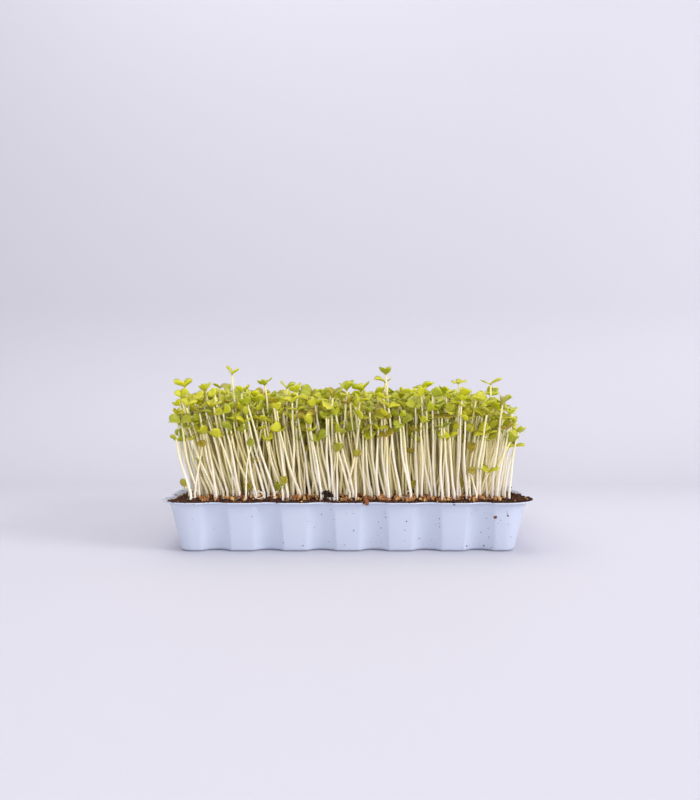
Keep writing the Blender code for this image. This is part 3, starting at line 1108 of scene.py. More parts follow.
@dataclass
class Seedling:
    """One seedling: its foot in plan, its head, the bow of its stem and the set of its leaves."""

    foot: Vector
    head: Vector
    bow: Vector
    turn: float
    rise: list[float]
    size: list[float]
    swing: list[float]
    tint: float = 0.4
    nod: float = 0.0
    stem: Pair = (0.00088, 0.00050)
    neck_top: float = 0.0362
    root_depth: float = 0.0285

    def line(self, steps: int) -> list[Vector]:
        """Points up the stem: upright in the soil, then bowed to one side on its way up."""
        neck = Vector((self.foot.x, self.foot.y, self.neck_top))
        knee = blend(neck, self.head, 0.5) + self.bow
        found = [Vector((self.foot.x, self.foot.y, self.root_depth))]
        for step in range(steps + 1):
            share = step / steps
            found.append(blend(blend(neck, knee, share), blend(knee, self.head, share), share))
        return found

    def leaf_turns(self) -> list[Vector]:
        """The turn of each leaf, as Euler angles."""
        found = []
        for n in range(2):
            turn = self.turn + n * math.pi + self.swing[n]
            found.append(Vector((self.rise[n], self.nod * (1 - 2 * n), turn)))
        return found

    def nod_outward(self, angle: float) -> None:
        """Tip the pair of leaves, so that its upper side turns away from the middle of the tray."""
        side = math.cos(self.turn) * self.foot.x + math.sin(self.turn) * self.foot.y
        self.nod = math.copysign(angle, side)

    def leaf_points(
        self, spots: tuple[Pair, ...], shape: LeafShape
    ) -> list[Vector]:
        """Where some spots of the two leaves are, each spot on both sides of the midrib.

        Args:
            spots: the spots, as places across and along a leaf.
            shape: the leaves' shape.

        Returns:
            The places of the spots.
        """
        found = []
        for turn, size in zip(self.leaf_turns(), self.size):
            frame = Euler(turn).to_matrix().to_4x4() @ Matrix.Scale(size, 4)
            frame = Matrix.Translation(self.head) @ frame
            for u, v in spots:
                height = shape.cup * abs(u) - shape.arch * v * v
                for way in (1, -1):
                    place = Vector((way * u * shape.width / 2, v * shape.length, height))
                    found.append(frame @ place)
        return found


class Crowd:
    """Points of the seedlings that stand so far, in small cells, so that new ones are tested
    quickly."""

    def __init__(self, apart: float) -> None:
        self.apart = apart
        self.cells: dict[tuple[int, ...], list[Vector]] = {}

    def cell(self, point: Vector) -> tuple[int, ...]:
        """The cell that holds a point."""
        return tuple(math.floor(c / self.apart) for c in point)

    def add(self, points: list[Vector]) -> None:
        """Note the points of one more seedling."""
        for point in points:
            self.cells.setdefault(self.cell(point), []).append(point)

    def is_clear(self, points: list[Vector]) -> bool:
        """Whether points keep their distance from every point that is noted."""
        steps = [(a, b, c) for a in (-1, 0, 1) for b in (-1, 0, 1) for c in (-1, 0, 1)]
        for point in points:
            i, j, k = self.cell(point)
            for a, b, c in steps:
                for place in self.cells.get((i + a, j + b, k + c), ()):
                    if (place - point).length < self.apart:
                        return False
        return True


@dataclass
class TuftPlan:
    """The tufts of the plain model, grown by the same rule and draws, so that each finer
    seedling stands where its plain one does."""

    outline: TrayOutline
    seed: int = 20
    columns: int = 7
    rows: int = 6
    span: Pair = (0.170, 0.1225)
    stagger: float = 0.0025
    jitter: Pair = (0.0008, 0.0030)
    plug: Pair = (0.0120, 0.0052)
    plug_room: float = 0.0021
    soil_top: float = 0.0322
    a_tuft: int = 3
    front_tuft: int = 6
    stem_height: Pair = (0.040, 0.066)
    usual_height: float = 0.0556
    bow: float = 0.0035
    spread: float = 0.0125
    spread_shares: Pair = (0.1, 1.0)
    lean: float = 0.10
    leaf_rise: Pair = (8, 58)
    leaf_shares: tuple[Pair, ...] = ((0.86, 1.12), (0.72, 1.0))
    leaf_swing: float = 0.35
    stem_samples: int = 26
    leaf_samples: tuple[Pair, ...] = (
        (0.0, 0.35),
        (0.0, 0.65),
        (0.42, 0.50),
        (0.84, 0.60),
        (0.36, 0.86),
        (0.76, 0.92),
    )
    leaf_edge: tuple[Pair, ...] = ((1.0, 0.58), (0.66, 1.0), (0.0, 0.83))
    apart: float = 0.0027
    tries: int = 400
    rim_margin: float = 0.0012
    plain_leaf: LeafShape = LeafShape()
    # Seedlings that stand out of the crowd: foot, then head, in millimetres.
    standing_out: tuple[tuple[tuple, tuple], ...] = (
        ((95, -60), (102, -57, 78)),
        ((93, -66), (98, -71, 67)),
        ((-96, -66), (-99, -71, 39)),
        ((83, -66), (85, -72, 48)),
        ((35, -66), (23, -64, 108)),
        ((33, -58), (23, -52, 103)),
        ((-68, -62), (-73, -60, 107)),
        ((-66, -58), (-66, -64, 97)),
        ((-78, -60), (-80, -56, 99)),
        ((-85, -58), (-89, -50, 98)),
        ((-91, -62), (-102, -60, 100)),
        ((-87, -60), (-97, -71, 87)),
        ((-87, -66), (-101, -70, 76)),
        ((-91, -38), (-103, -42, 71)),
        ((-49, -60), (-51, -62, 101)),
        ((-36, -62), (-39, -58, 100)),
        ((-5, -62), (-1, -66, 99)),
        ((14, -62), (10, -58, 99)),
        ((44, -60), (47, -64, 98)),
        ((51, -62), (53, -60, 95)),
        ((62, -58), (61, -52, 96)),
        ((85, -58), (88, -62, 101)),
        ((91, -34), (101, -38, 90)),
        ((81, -38), (79, -42, 90)),
        ((88, 35), (84, 40, 104)),
        ((-84, 35), (-92, 40, 97)),
    )

    def middles(self, draw: random.Random) -> list[Vector]:
        """The middle of each tuft in plan, row by row from the front."""
        found = []
        for row in range(self.rows):
            for column in range(self.columns):
                x = blend(-0.5, 0.5, column / (self.columns - 1)) * self.span[0]
                y = blend(-0.5, 0.5, row / (self.rows - 1)) * self.span[1]
                inner = 0.0 if row in (0, self.rows - 1) else 1.0
                x += self.stagger * (1 if row % 2 else -1) + self.jitter[0] * draw.uniform(-1, 1)
                y += self.jitter[1] * draw.uniform(-1, 1) * inner
                found.append(Vector((x, y)))
        return found

    def sprout(self, draw: random.Random, foot: Vector, head: Vector) -> Seedling:
        """Draw one seedling between its foot and its head."""
        bow = Vector((draw.uniform(-1, 1), draw.uniform(-1, 1), 0)) * self.bow
        return Seedling(
            foot,
            head,
            bow,
            draw.uniform(0, 2 * math.pi),
            [math.radians(draw.uniform(*self.leaf_rise)) for _ in range(2)],
            [draw.uniform(*shares) for shares in self.leaf_shares],
            [draw.uniform(-self.leaf_swing, self.leaf_swing) for _ in range(2)],
        )

    def inside_rim(self, seedling: Seedling) -> bool:
        """Whether a whole seedling stays within the tray's rim, in plan."""
        half_x = self.outline.rim_length / 2 - self.rim_margin
        half_y = self.outline.rim_width / 2 - self.rim_margin
        edge = seedling.leaf_points(self.leaf_edge, self.plain_leaf)
        return all(abs(p.x) <= half_x and abs(p.y) <= half_y for p in edge)

    def in_plug(self, middle: Vector, foot: Vector) -> Vector:
        """The nearest place to a foot that lies well inside a tuft's oval."""
        away = foot - middle
        most = Vector([radius - self.plug_room for radius in self.plug])
        return middle + away / max(1.0, math.hypot(away.x / most.x, away.y / most.y))

    def grow(self) -> list[list[Seedling]]:
        """Every tuft's seedlings."""
        draw = random.Random(self.seed)
        tufts = self.middles(draw)
        crowd = Crowd(self.apart)
        grown: list[list[Seedling]] = [[] for _ in tufts]

        def stands(owner: int, seedling: Seedling) -> bool:
            """Plant a seedling if there is room for it."""
            points = seedling.line(self.stem_samples)[1:]
            points += seedling.leaf_points(self.leaf_samples, self.plain_leaf)
            if not self.inside_rim(seedling) or not crowd.is_clear(points):
                return False
            crowd.add(points)
            grown[owner].append(seedling)
            return True

        for foot, head in self.standing_out:
            foot, head = Vector(foot) * MM, Vector(head) * MM
            owner = min(range(len(tufts)), key=lambda n: (tufts[n] - foot).length)
            for _ in range(self.tries):
                nudge = Vector([draw.uniform(-1, 1) * MM for _ in range(3)])
                place = self.in_plug(tufts[owner], foot + nudge.xy)
                if stands(owner, self.sprout(draw, place, head + nudge)):
                    break
        for owner, middle in enumerate(tufts):
            wanted = self.front_tuft if owner < self.columns else self.a_tuft
            for _ in range(self.tries):
                if len(grown[owner]) >= wanted:
                    break
                away = Vector([draw.uniform(-1, 1) * radius for radius in self.plug])
                foot = self.in_plug(middle, middle + away)
                angle = draw.uniform(0, 2 * math.pi)
                away = Vector((math.cos(angle), math.sin(angle)))
                tall = draw.triangular(*self.stem_height, self.usual_height)
                spread = away * draw.uniform(*self.spread_shares) * self.spread
                head = foot + spread + foot * self.lean * tall / self.stem_height[1]
                head = Vector((head.x, head.y, self.soil_top + tall))
                stands(owner, self.sprout(draw, foot, head))
        return grown


class Placement:
    """Points that each carry a shape, and lines that each become a tube."""

    shape_keys = ("is_shape", "turn", "size", "shape")
    # The tubes' deep number sets the stems' painted glow of light filtered through the stand.
    tube_keys = ("radius", "along", "tint", "shade", "deep")

    def __init__(self) -> None:
        self.points: list[Vector] = []
        self.edges: list[tuple[int, int]] = []
        keys = self.shape_keys + self.tube_keys
        self.numbers: dict[str, list] = {key: [] for key in keys}

    def _add(self, place: Vector, **numbers: object) -> None:
        """Add a point with some of the numbers, and plain values for the rest."""
        self.points.append(place)
        plain = {"is_shape": 0.0, "turn": Vector(), "size": 1.0, "shape": 0.0}
        plain |= {"radius": 0.001, "along": 0.0, "tint": 0.5, "deep": 0.0}
        plain |= numbers
        plain["shade"] = plain["tint"]
        for key, value in plain.items():
            self.numbers[key].append(value)

    def add_shape(self, place: Vector, turn: Vector, size: float, shape: int, tint: float) -> None:
        """Put one of the shapes at a place.

        Args:
            place: where its origin goes.
            turn: its turn as Euler angles.
            size: how many times larger than the shape itself it is.
            shape: which shape it is.
            tint: its shade, from 0 to 1.
        """
        self._add(place, is_shape=1.0, turn=turn, size=size, shape=float(shape), tint=tint)

    def add_tube(
        self, line: list[Vector], radii: list[float], tint: float, deep: float = 0.0
    ) -> None:
        """Lay a tube along a line.

        Args:
            line: the points of its middle.
            radii: its radius at each of them.
            tint: its shade, from 0 to 1.
            deep: how far inside the stand it is, from 0 to 1, which sets its painted khaki glow.
        """
        first = len(self.points)
        for number, (place, radius) in enumerate(zip(line, radii)):
            along = number / (len(line) - 1)
            self._add(place, radius=radius, along=along, tint=tint, deep=deep)
        self.edges += [(n, n + 1) for n in range(first, len(self.points) - 1)]

    def grow(self, name: str, tree: SproutTree, inputs: dict[str, object]) -> bpy.types.Object:
        """Turn the points into a piece.

        Args:
            name: the piece's name.
            tree: the tree that makes the tubes and puts the shapes in their places.
            inputs: the tree's inputs.

        Returns:
            The piece.
        """
        return tree.grow(add_mesh(name, self.points, [], self.numbers, self.edges), inputs)


# The soil


@dataclass(frozen=True)
class Scattering:
    """One piece of loose shapes on the soil: its ground, its shapes, how many lie on a square
    metre, the seed, their smallest and largest size, and how far they tip over, in radians."""

    name: str
    ground: str
    shapes: str
    density: float
    seed: int
    sizes: Pair
    tilt: float


@dataclass
class SoilBed:
    """The soil, brim full and heaped over the front lip, with a lumpy top of crumbs."""

    finishes: Finishes
    scatter: ScatterTree
    outline: TrayOutline = TrayOutline()
    inset: float = 0.0010
    low_rings: tuple[Point, ...] = ((-0.0062, 0.0013, 0.0), (-0.0005, 0.0242, 0.76))
    # The soil's edge, first short of the lip and then over it: reach and height, and below them
    # the same for the ring that holds the edge to the wall.
    edges: Span = ((0.0006, 0.0284), (0.0050, 0.0316))
    under: Span = ((0.0003, 0.0272), (0.0014, 0.0306))
    edge_change: float = 0.9
    edge_height: float = 0.0315
    top: float = 0.0322
    mound: float = 0.0010
    ripple: float = 0.0009
    waves: tuple[Point, Point] = ((410, 350, 1.0), (190, -270, 0.6))
    wave_shift: Pair = (1.3, 0.4)
    lump: float = 0.0011
    lump_pace: float = 130
    grit: float = 0.0005
    grit_pace: float = 520
    grit_layer: float = 4.0
    top_rings: int = 44
    ring_power: float = 1.25
    edge_blend: float = 0.007
    shade: float = 0.4
    heap: float = 0.0011
    front_crumbs: float = -0.052
    # The soil covers the lip along the front, and towards the right end from a little further
    # back. Each pair is where a rise starts and how long it is.
    cover_front: Pair = (0.060, 0.013)
    cover_end: Pair = (0.088, 0.014)
    cover_corner: Pair = (0.042, 0.016)
    # Heaped husks lie in patches in a band along the front: more of them after a rise along the
    # band, and none beyond its end.
    husk_band: Pair = (-0.0760, -0.048)
    husk_pace: Point = (45, 30, 2.0)
    husk_rise: Pair = (-0.060, 0.080)
    husk_end: Pair = (0.088, 0.012)
    husk_more: float = 0.45
    husk_from: float = -0.02
    scatterings: tuple[Scattering, ...] = (
        Scattering("soil_crumbs", "everywhere", "crumbs", 260000, 1, (0.0006, 0.0026), 3.0),
        Scattering("soil_crumbs_front", "front", "crumbs", 1300000, 11, (0.0005, 0.0016), 3.0),
        Scattering("soil_clods", "everywhere", "clods", 3200, 21, (0.0024, 0.0046), 3.0),
        Scattering("husks", "everywhere", "husks", 26000, 31, (0.0018, 0.0028), 1.1),
        Scattering("husks_front", "feet", "husks", 210000, 41, (0.0018, 0.0038), 1.9),
    )

    def height(self, x: float, y: float) -> float:
        """The height of the soil at a place in plan."""
        across = 1 - (2 * x / self.outline.rim_length) ** 2
        along = 1 - (2 * y / self.outline.rim_width) ** 2
        (first_x, first_y, first), (second_x, second_y, second) = self.waves
        shift_x, shift_y = self.wave_shift
        lumps = first * math.sin(x * first_x + shift_x) * math.cos(y * first_y + shift_y)
        lumps += second * math.sin(x * second_x + y * second_y)
        found = self.top + self.mound * max(0.0, across * along) + self.ripple * lumps
        place = Vector((x * self.lump_pace, y * self.lump_pace, 0.0))
        found += self.lump * max(0.0, noise.noise(place))
        place = Vector((x * self.grit_pace, y * self.grit_pace, self.grit_layer))
        return found + self.grit * noise.noise(place)

    def cover(self, place: Vector) -> float:
        """How far the soil covers the lip at a place: fully along the front, not elsewhere."""
        front = ramp(-place.y, *self.cover_front)
        corner = ramp(place.x, *self.cover_end) * ramp(-place.y, *self.cover_corner)
        return max(front, corner)

    def edge_ring(self, ends: Span) -> list[Vector]:
        """A ring round the soil that runs between two places on the wall, by the cover."""
        (near_reach, near_height), (far_reach, far_height) = ends
        near = self.outline.ring(near_reach, self.edge_change)
        near = self.outline.inward(near, self.inset)
        far = self.outline.ring(far_reach, 1.0)
        found = []
        for inner, outer in zip(near, far):
            cover = self.cover(outer)
            place = blend(inner, outer, cover)
            found.append(Vector((place.x, place.y, blend(near_height, far_height, cover))))
        return found

    def is_husky(self, place: Vector) -> float:
        """1 where husks lie round the feet of the front stems, in patches, and 0 elsewhere."""
        pace_x, pace_y, layer = self.husk_pace
        patches = noise.noise(Vector((place.x * pace_x, place.y * pace_y, layer)))
        more = ramp(place.x, *self.husk_rise) * self.husk_more
        patches += more - ramp(place.x, *self.husk_end)
        low, high = self.husk_band
        return float(low < place.y < high and patches > self.husk_from)

    def build(self) -> None:
        """Make the bed and everything that lies scattered on it."""
        points = []
        for reach, height, change in self.low_rings:
            ring = self.outline.inward(self.outline.ring(reach, change), self.inset)
            points += [Vector((p.x, p.y, height)) for p in ring]
        points += self.edge_ring(self.under)
        edge = self.edge_ring(self.edges)
        points += edge
        count = len(edge)
        for ring in range(1, self.top_rings):
            share = 1 - (ring / self.top_rings) ** self.ring_power
            for p in edge:
                x, y = p.x * share, p.y * share
                inner = ramp(p.xy.length * (1 - share), 0.0, self.edge_blend)
                points.append(Vector((x, y, blend(p.z, self.height(x, y), inner))))
        rings = len(points) // count
        faces = bridge(rings, count)
        faces.append(tuple(reversed(range(count))))
        faces.append(tuple(range(len(points) - count, len(points))))
        low = (len(self.low_rings) + 2) * count
        is_open = [0.0] * low + [1.0] * (len(points) - low)
        is_front = []
        for value, p in zip(is_open, points):
            is_front.append(value if p.y < self.front_crumbs else 0.0)
        is_foot = [value * self.is_husky(p) for value, p in zip(is_open, points)]
        numbers = {"open": is_open, "shade": [self.shade] * len(points)}
        soil = add_mesh("soil_bed", points, faces, numbers)
        soil.data.materials.append(self.finishes.soil)
        dress(soil, Slot.SOIL, ("soil",))
        lift = Vector((0.0, 0.0, self.heap))
        heaped = [point + lift for point in points]
        grounds = {
            "everywhere": add_mesh("everywhere", points, faces, {"open": is_open}),
            "front": add_mesh("front", points, faces, {"open": is_front}),
            "feet": add_mesh("feet", heaped, faces, {"open": is_foot}),
        }
        clods = CrumbShapes(kinds=4, subdivisions=2, roughness=0.20, seed=8)
        shapes = {
            "crumbs": (CrumbShapes().build(), self.finishes.soil),
            "clods": (clods.build(), self.finishes.soil),
            "husks": (HuskShapes().build(), self.finishes.husk),
        }
        for scattering in self.scatterings:
            self.strew(scattering, grounds[scattering.ground], *shapes[scattering.shapes])
        remove(list(grounds.values()))
        for shape_set, _ in shapes.values():
            shape_set.discard()

    def strew(
        self,
        scattering: Scattering,
        ground: bpy.types.Object,
        shapes: ShapeSet,
        finish: bpy.types.Material,
    ) -> None:
        """Scatter shapes over the soil as one piece.

        Args:
            scattering: how many there are, how large, and how they lie.
            ground: the mesh that they lie on.
            shapes: the shapes to draw from.
            finish: their finish.
        """
        piece = add_object(scattering.name, ground.data.copy())
        inputs = {
            "Density": float(scattering.density),
            "Seed": scattering.seed,
            "Smallest": scattering.sizes[0],
            "Largest": scattering.sizes[1],
            "Tilt": scattering.tilt,
            "Shapes": shapes.collection,
            "Finish": finish,
        }
        self.scatter.grow(piece, inputs)
        self.outline.press_inside(piece)
        dress(piece, Slot.SOIL)


@dataclass
class Litter:
    """Crumbs on the rim, splashes of soil on the front wall, one yellow seed and white roots."""

    finishes: Finishes
    tray: Tray
    soil: SoilBed
    tree: SproutTree
    seed: int = 44
    tube_sides: int = 6
    rim_crumbs: int = 560
    rim_reaches: Pair = (0.0022, 0.0049)
    rim_sizes: Pair = (0.0005, 0.0012)
    rim_front: float = -0.060
    # How high the crumbs are heaped, and where that starts and how long its rise is, towards the
    # right end and towards the front.
    rim_heap: float = 0.0018
    heap_end: Pair = (0.086, 0.014)
    heap_front: Pair = (0.03, 0.03)
    rim_lift: float = 0.2
    bare_before: float = -0.098
    bare_size: float = 0.6
    stray_share: float = 0.05
    lump_crumbs: int = 22
    lump_reach: Point = (0.0030, 0.0010, 0.0019)
    lump_size: float = 0.0022
    lump_tint: float = 0.1
    small_specks: int = 66
    speck_span: Pair = (-0.096, 0.098)
    speck_power: float = 0.6
    speck_heights: Pair = (0.001, 0.027)
    speck_sizes: Pair = (0.00025, 0.0006)
    speck_tilt: float = 0.3
    speck_tints: Pair = (0.3, 1.0)
    seed_turn: Point = (0.3, 0.2, 0.5)
    seed_size: float = 0.0021
    seed_shape: int = 2
    seed_tint: float = 0.95
    curl_steps: int = 25
    curl_turns: float = 1.55
    curl_reach: Pair = (0.0031, 0.0017)
    curl_squash: Pair = (0.25, 0.85)
    curl_length: float = 0.0024
    curl_radii: Pair = (0.00034, 0.00018)
    curl_tint: float = 0.1
    hairs: int = 60
    hair_ends: float = 0.104
    hair_span: Pair = (-0.074, 0.070)
    hair_limits: Pair = (-0.0735, 0.0730)
    hair_bend: float = 0.5
    hair_points: int = 9
    hair_step: float = 0.0008
    hair_lift: Pair = (0.0002, 0.0009)
    hair_radius: float = 0.00012
    # The largest splashes on the front wall: distance along it, height and size, in millimetres.
    splashes: tuple[Point, ...] = (
        (89.1, 22.0, 1.9),
        (96.8, 22.9, 1.3),
        (3.6, 13.5, 1.1),
        (34.5, 13.8, 0.9),
        (43.9, 7.8, 1.0),
        (55.8, 15.7, 1.0),
        (-12.1, 5.6, 0.8),
        (83.9, 3.0, 1.0),
        (35.6, 19.3, 0.9),
        (20.3, 14.5, 0.8),
        (72.5, 3.3, 0.9),
        (-27.4, 3.8, 0.8),
        (23.0, 21.4, 0.7),
        (55.5, 20.8, 0.8),
    )
    curl_middle: Point = (-0.0545, -0.0746, 0.0356)
    seed_place: Point = (0.0602, -0.0758, 0.0330)
    lump_place: Point = (-0.0124, -0.0738, 0.0358)

    def build(self) -> None:
        """Make all the litter."""
        draw = random.Random(self.seed)
        crumbs = CrumbShapes(seed=12).build()
        self.build_rim_crumbs(draw, crumbs)
        self.build_specks(draw, crumbs)
        self.build_yellow_seed(crumbs)
        self.build_roots(draw, crumbs)
        crumbs.discard()

    def piece(
        self, name: str, placed: Placement, shapes: ShapeSet, finish: bpy.types.Material
    ) -> None:
        """Make one piece of litter.

        Args:
            name: the piece's name.
            placed: its shapes and tubes.
            shapes: the shapes to draw from.
            finish: their finish.
        """
        inputs = {
            "Tube Sides": self.tube_sides,
            "Tube Finish": self.finishes.root,
            "Shape Finish": finish,
            "Shapes": shapes.collection,
        }
        made = placed.grow(name, self.tree, inputs)
        self.tray.outline.press_inside(made)
        dress(made, Slot.SOIL)

    @staticmethod
    def any_turn(draw: random.Random) -> Vector:
        """A random turn."""
        return Vector([draw.uniform(0, math.tau) for _ in range(3)])

    @staticmethod
    def any_crumb(draw: random.Random) -> int:
        """The number of a random crumb."""
        return draw.randrange(CrumbShapes.kinds)

    def build_rim_crumbs(self, draw: random.Random, shapes: ShapeSet) -> None:
        """Crumbs on the lip: many along the front and at the right corner, few elsewhere."""
        placed = Placement()
        rings = [self.tray.outline.ring(reach, 1.0) for reach in self.rim_reaches]
        corners = []
        for number, place in enumerate(rings[1]):
            crumbly = place.y < self.rim_front and place.x > self.bare_before
            if crumbly or draw.random() < self.stray_share:
                corners.append(number)
        for _ in range(self.rim_crumbs):
            number = draw.choice(corners)
            after = (number + 1) % len(rings[0])
            share, out = draw.random(), draw.random()
            place = blend(*(blend(ring[number], ring[after], share) for ring in rings), out)
            bare = place.x < self.bare_before
            heap = ramp(place.x, *self.heap_end) * ramp(-place.y, *self.heap_front)
            size = draw.uniform(*self.rim_sizes) * (self.bare_size if bare else 1.0)
            height = self.soil.edge_height + size * self.rim_lift
            height += heap * draw.uniform(0, self.rim_heap) * (1 - out)
            spot = Vector((place.x, place.y, height))
            turn = self.any_turn(draw)
            placed.add_shape(spot, turn, size, self.any_crumb(draw), draw.random() ** 2)
        for _ in range(self.lump_crumbs):
            nudge = Vector([draw.uniform(-1, 1) * reach for reach in self.lump_reach])
            spot = Vector(self.lump_place) + nudge
            turn = self.any_turn(draw)
            placed.add_shape(spot, turn, self.lump_size, self.any_crumb(draw), self.lump_tint)
        self.piece("rim_crumbs", placed, shapes, self.finishes.soil)

    def build_specks(self, draw: random.Random, shapes: ShapeSet) -> None:
        """Splashes of soil on the front wall, most of them to the right."""
        placed = Placement()
        spots = [(x * MM, z * MM, size * MM) for x, z, size in self.splashes]
        for _ in range(self.small_specks):
            x = blend(*self.speck_span, draw.random() ** self.speck_power)
            z = draw.uniform(*self.speck_heights)
            spots.append((x, z, draw.uniform(*self.speck_sizes)))
        for x, z, size in spots:
            place = self.tray.wall_point(x, z)
            tilt = draw.uniform(-self.speck_tilt, self.speck_tilt)
            turn = Vector((tilt, draw.uniform(0, math.tau), 0.0))
            shape = self.any_crumb(draw)
            placed.add_shape(place, turn, size, shape, draw.uniform(*self.speck_tints))
        self.piece("wall_specks", placed, shapes, self.finishes.soil)

    def build_yellow_seed(self, shapes: ShapeSet) -> None:
        """The one pale seed that lies on the front lip."""
        placed = Placement()
        place, turn = Vector(self.seed_place), Vector(self.seed_turn)
        placed.add_shape(place, turn, self.seed_size, self.seed_shape, self.seed_tint)
        self.piece("pale_seed", placed, shapes, self.finishes.husk)

    def build_roots(self, draw: random.Random, shapes: ShapeSet) -> None:
        """A curled white root near the front, and short root hairs and fibres on the soil."""
        placed = Placement()
        middle = Vector(self.curl_middle)
        squash_y, squash_z = self.curl_squash
        curl, radii = [], []
        for step in range(self.curl_steps + 1):
            share = step / self.curl_steps
            angle = share * self.curl_turns * math.tau
            rise = math.sin(angle)
            away = Vector((math.cos(angle), squash_y * rise, squash_z * rise))
            away *= blend(*self.curl_reach, share)
            curl.append(middle + away + Vector((share * self.curl_length, 0, 0)))
            radii.append(blend(*self.curl_radii, share))
        placed.add_tube(curl, radii, self.curl_tint)
        low, high = self.hair_limits
        for _ in range(self.hairs):
            x = draw.uniform(-self.hair_ends, self.hair_ends)
            y = blend(*self.hair_span, draw.random() ** 2)
            heading = draw.uniform(0, math.tau)
            line, bend = [], draw.uniform(-self.hair_bend, self.hair_bend)
            for _ in range(self.hair_points):
                z = self.soil.height(x, y) + draw.uniform(*self.hair_lift)
                line.append(Vector((x, y, z)))
                x += self.hair_step * math.cos(heading)
                y = min(high, max(low, y + self.hair_step * math.sin(heading)))
                heading += bend
            placed.add_tube(line, [self.hair_radius] * len(line), draw.random())
        self.piece("roots", placed, shapes, self.finishes.root)


# The stand of seedlings


@dataclass
class FillPlan:
    """The further seedlings that stand among those of the tufts, and the late short ones."""

    plan: TuftPlan
    seed: int = 31
    wanted: int = 1180
    candidates: int = 34000
    front_share: float = 0.36
    front_depth: float = 0.016
    ends: Pair = (-0.1000, 0.0980)
    leaf_ends: Pair = (-0.1075, 0.1080)
    half_width: float = 0.0742
    heights: tuple[float, float, float] = (0.033, 0.0635, 0.0530)
    facing: float = 0.30
    facing_spread: float = 0.6
    spread: float = 0.0062
    leaf_sizes: Pair = (0.80, 1.02)
    rise: Pair = (6, 62)
    nod: Pair = (0.10, 0.90)
    straighter: float = 0.6
    drift: float = 0.0084
    drift_middle: float = -0.007
    drift_end: float = 0.095
    drift_fade: float = 0.028
    drift_bow: float = 0.0014
    right_drop: float = 0.20
    drop_end: Pair = (0.080, 0.022)
    stem_samples: int = 20
    lip_from: float = 0.0685
    lip_depth: float = 0.0318
    apart: float = 0.0018
    leaf_apart: float = 0.0029
    leaf_spots: tuple[Pair, ...] = ((0.0, 0.5), (0.55, 0.7))
    late_tries: int = 60
    late_jitter: Pair = (0.004, 0.002)
    late_band: Pair = (-0.074, -0.062)
    late_straighter: float = 0.4
    late_turn: float = 0.4
    late_rise: Pair = (55, 88)
    late_leaf: Pair = (0.58, 0.76)
    late_tints: Pair = (0.80, 1.0)
    late_stem: Pair = (0.00062, 0.00040)
    late_spots: tuple[Pair, ...] = ((0.0, 0.5),)
    # Late seedlings: distance along the front and height of their heads, in millimetres.
    late: tuple[Pair, ...] = (
        (-88.5, 64),
        (-91, 53),
        (-71.5, 68),
        (-58.6, 64.4),
        (-57.3, 53.4),
        (-61, 37),
        (-42.6, 37),
        (-39, 41),
        (-25.3, 60.4),
        (-17.7, 63.5),
        (-6.6, 67.5),
        (-6.2, 61.3),
        (5.4, 57.7),
        (38.7, 59),
        (59.2, 67),
        (70.7, 66),
        (75.2, 60.8),
        (74.7, 47.9),
        (39.6, 38),
        (70.7, 39),
    )

    def draw_foot(self, draw: random.Random) -> Vector:
        """A place in the soil, more often near the front."""
        x = draw.uniform(*self.ends)
        if draw.random() < self.front_share:
            return Vector((x, -self.half_width + draw.random() * self.front_depth))
        return Vector((x, draw.uniform(-self.half_width, self.half_width)))

    def inset(self, foot: Vector) -> float:
        """How far inside the stand's edge a foot is."""
        return min(foot.x - self.ends[0], self.ends[1] - foot.x, self.half_width - abs(foot.y))

    def has_room(self, seedling: Seedling, spots: list[Vector]) -> bool:
        """Whether the leaves stay over the soil, short of the tray's ends."""
        low, high = self.leaf_ends
        return all(low < spot.x < high for spot in spots) and self.plan.inside_rim(seedling)

    def grow(self, tufts: list[list[Seedling]]) -> list[Seedling]:
        """Seedlings that find room among those of the tufts."""
        draw = random.Random(self.seed)
        stems, leaves = Crowd(self.apart), Crowd(self.leaf_apart)
        shape = self.plan.plain_leaf
        for seedling in (s for tuft in tufts for s in tuft):
            stems.add(seedling.line(self.stem_samples)[1:])
            leaves.add(seedling.leaf_points(self.leaf_spots, shape))
        found = self.grow_late(draw, stems, leaves)
        for _ in range(self.candidates):
            if len(found) >= self.wanted:
                break
            foot = self.draw_foot(draw)
            tall = draw.triangular(*self.heights)
            tall *= 1 - self.right_drop * ramp(foot.x, *self.drop_end)
            angle = draw.uniform(0, math.tau)
            away = Vector((math.cos(angle), math.sin(angle)))
            away = away * draw.uniform(*self.plan.spread_shares) * self.spread
            inner = self.drift_end - abs(foot.x - self.drift_middle)
            drift = self.drift * smooth(inner / self.drift_fade)
            lean = foot * self.plan.lean - Vector((drift, 0.0))
            head = foot + away + lean * tall / self.plan.stem_height[1]
            head = Vector((head.x, head.y, self.plan.soil_top + tall))
            seedling = self.plan.sprout(draw, foot, head)
            seedling.tint = draw.random()
            seedling.rise = [math.radians(draw.uniform(*self.rise)) for _ in range(2)]
            seedling.size = [size * draw.uniform(*self.leaf_sizes) for size in seedling.size]
            if draw.random() < self.facing:
                facing = draw.choice((0.0, math.pi))
                seedling.turn = facing + draw.gauss(0.0, self.facing_spread)
            seedling.nod_outward(draw.uniform(*self.nod))
            seedling.bow *= self.straighter
            seedling.bow.x -= self.drift_bow
            if abs(foot.y) > self.lip_from:
                seedling.root_depth = self.lip_depth
            line = seedling.line(self.stem_samples)[1:]
            spots = seedling.leaf_points(self.leaf_spots, shape)
            stands = self.has_room(seedling, spots) and stems.is_clear(line)
            if stands and leaves.is_clear(spots):
                stems.add(line)
                leaves.add(spots)
                found.append(seedling)
        LOG.info("%d further seedlings", len(found))
        return found

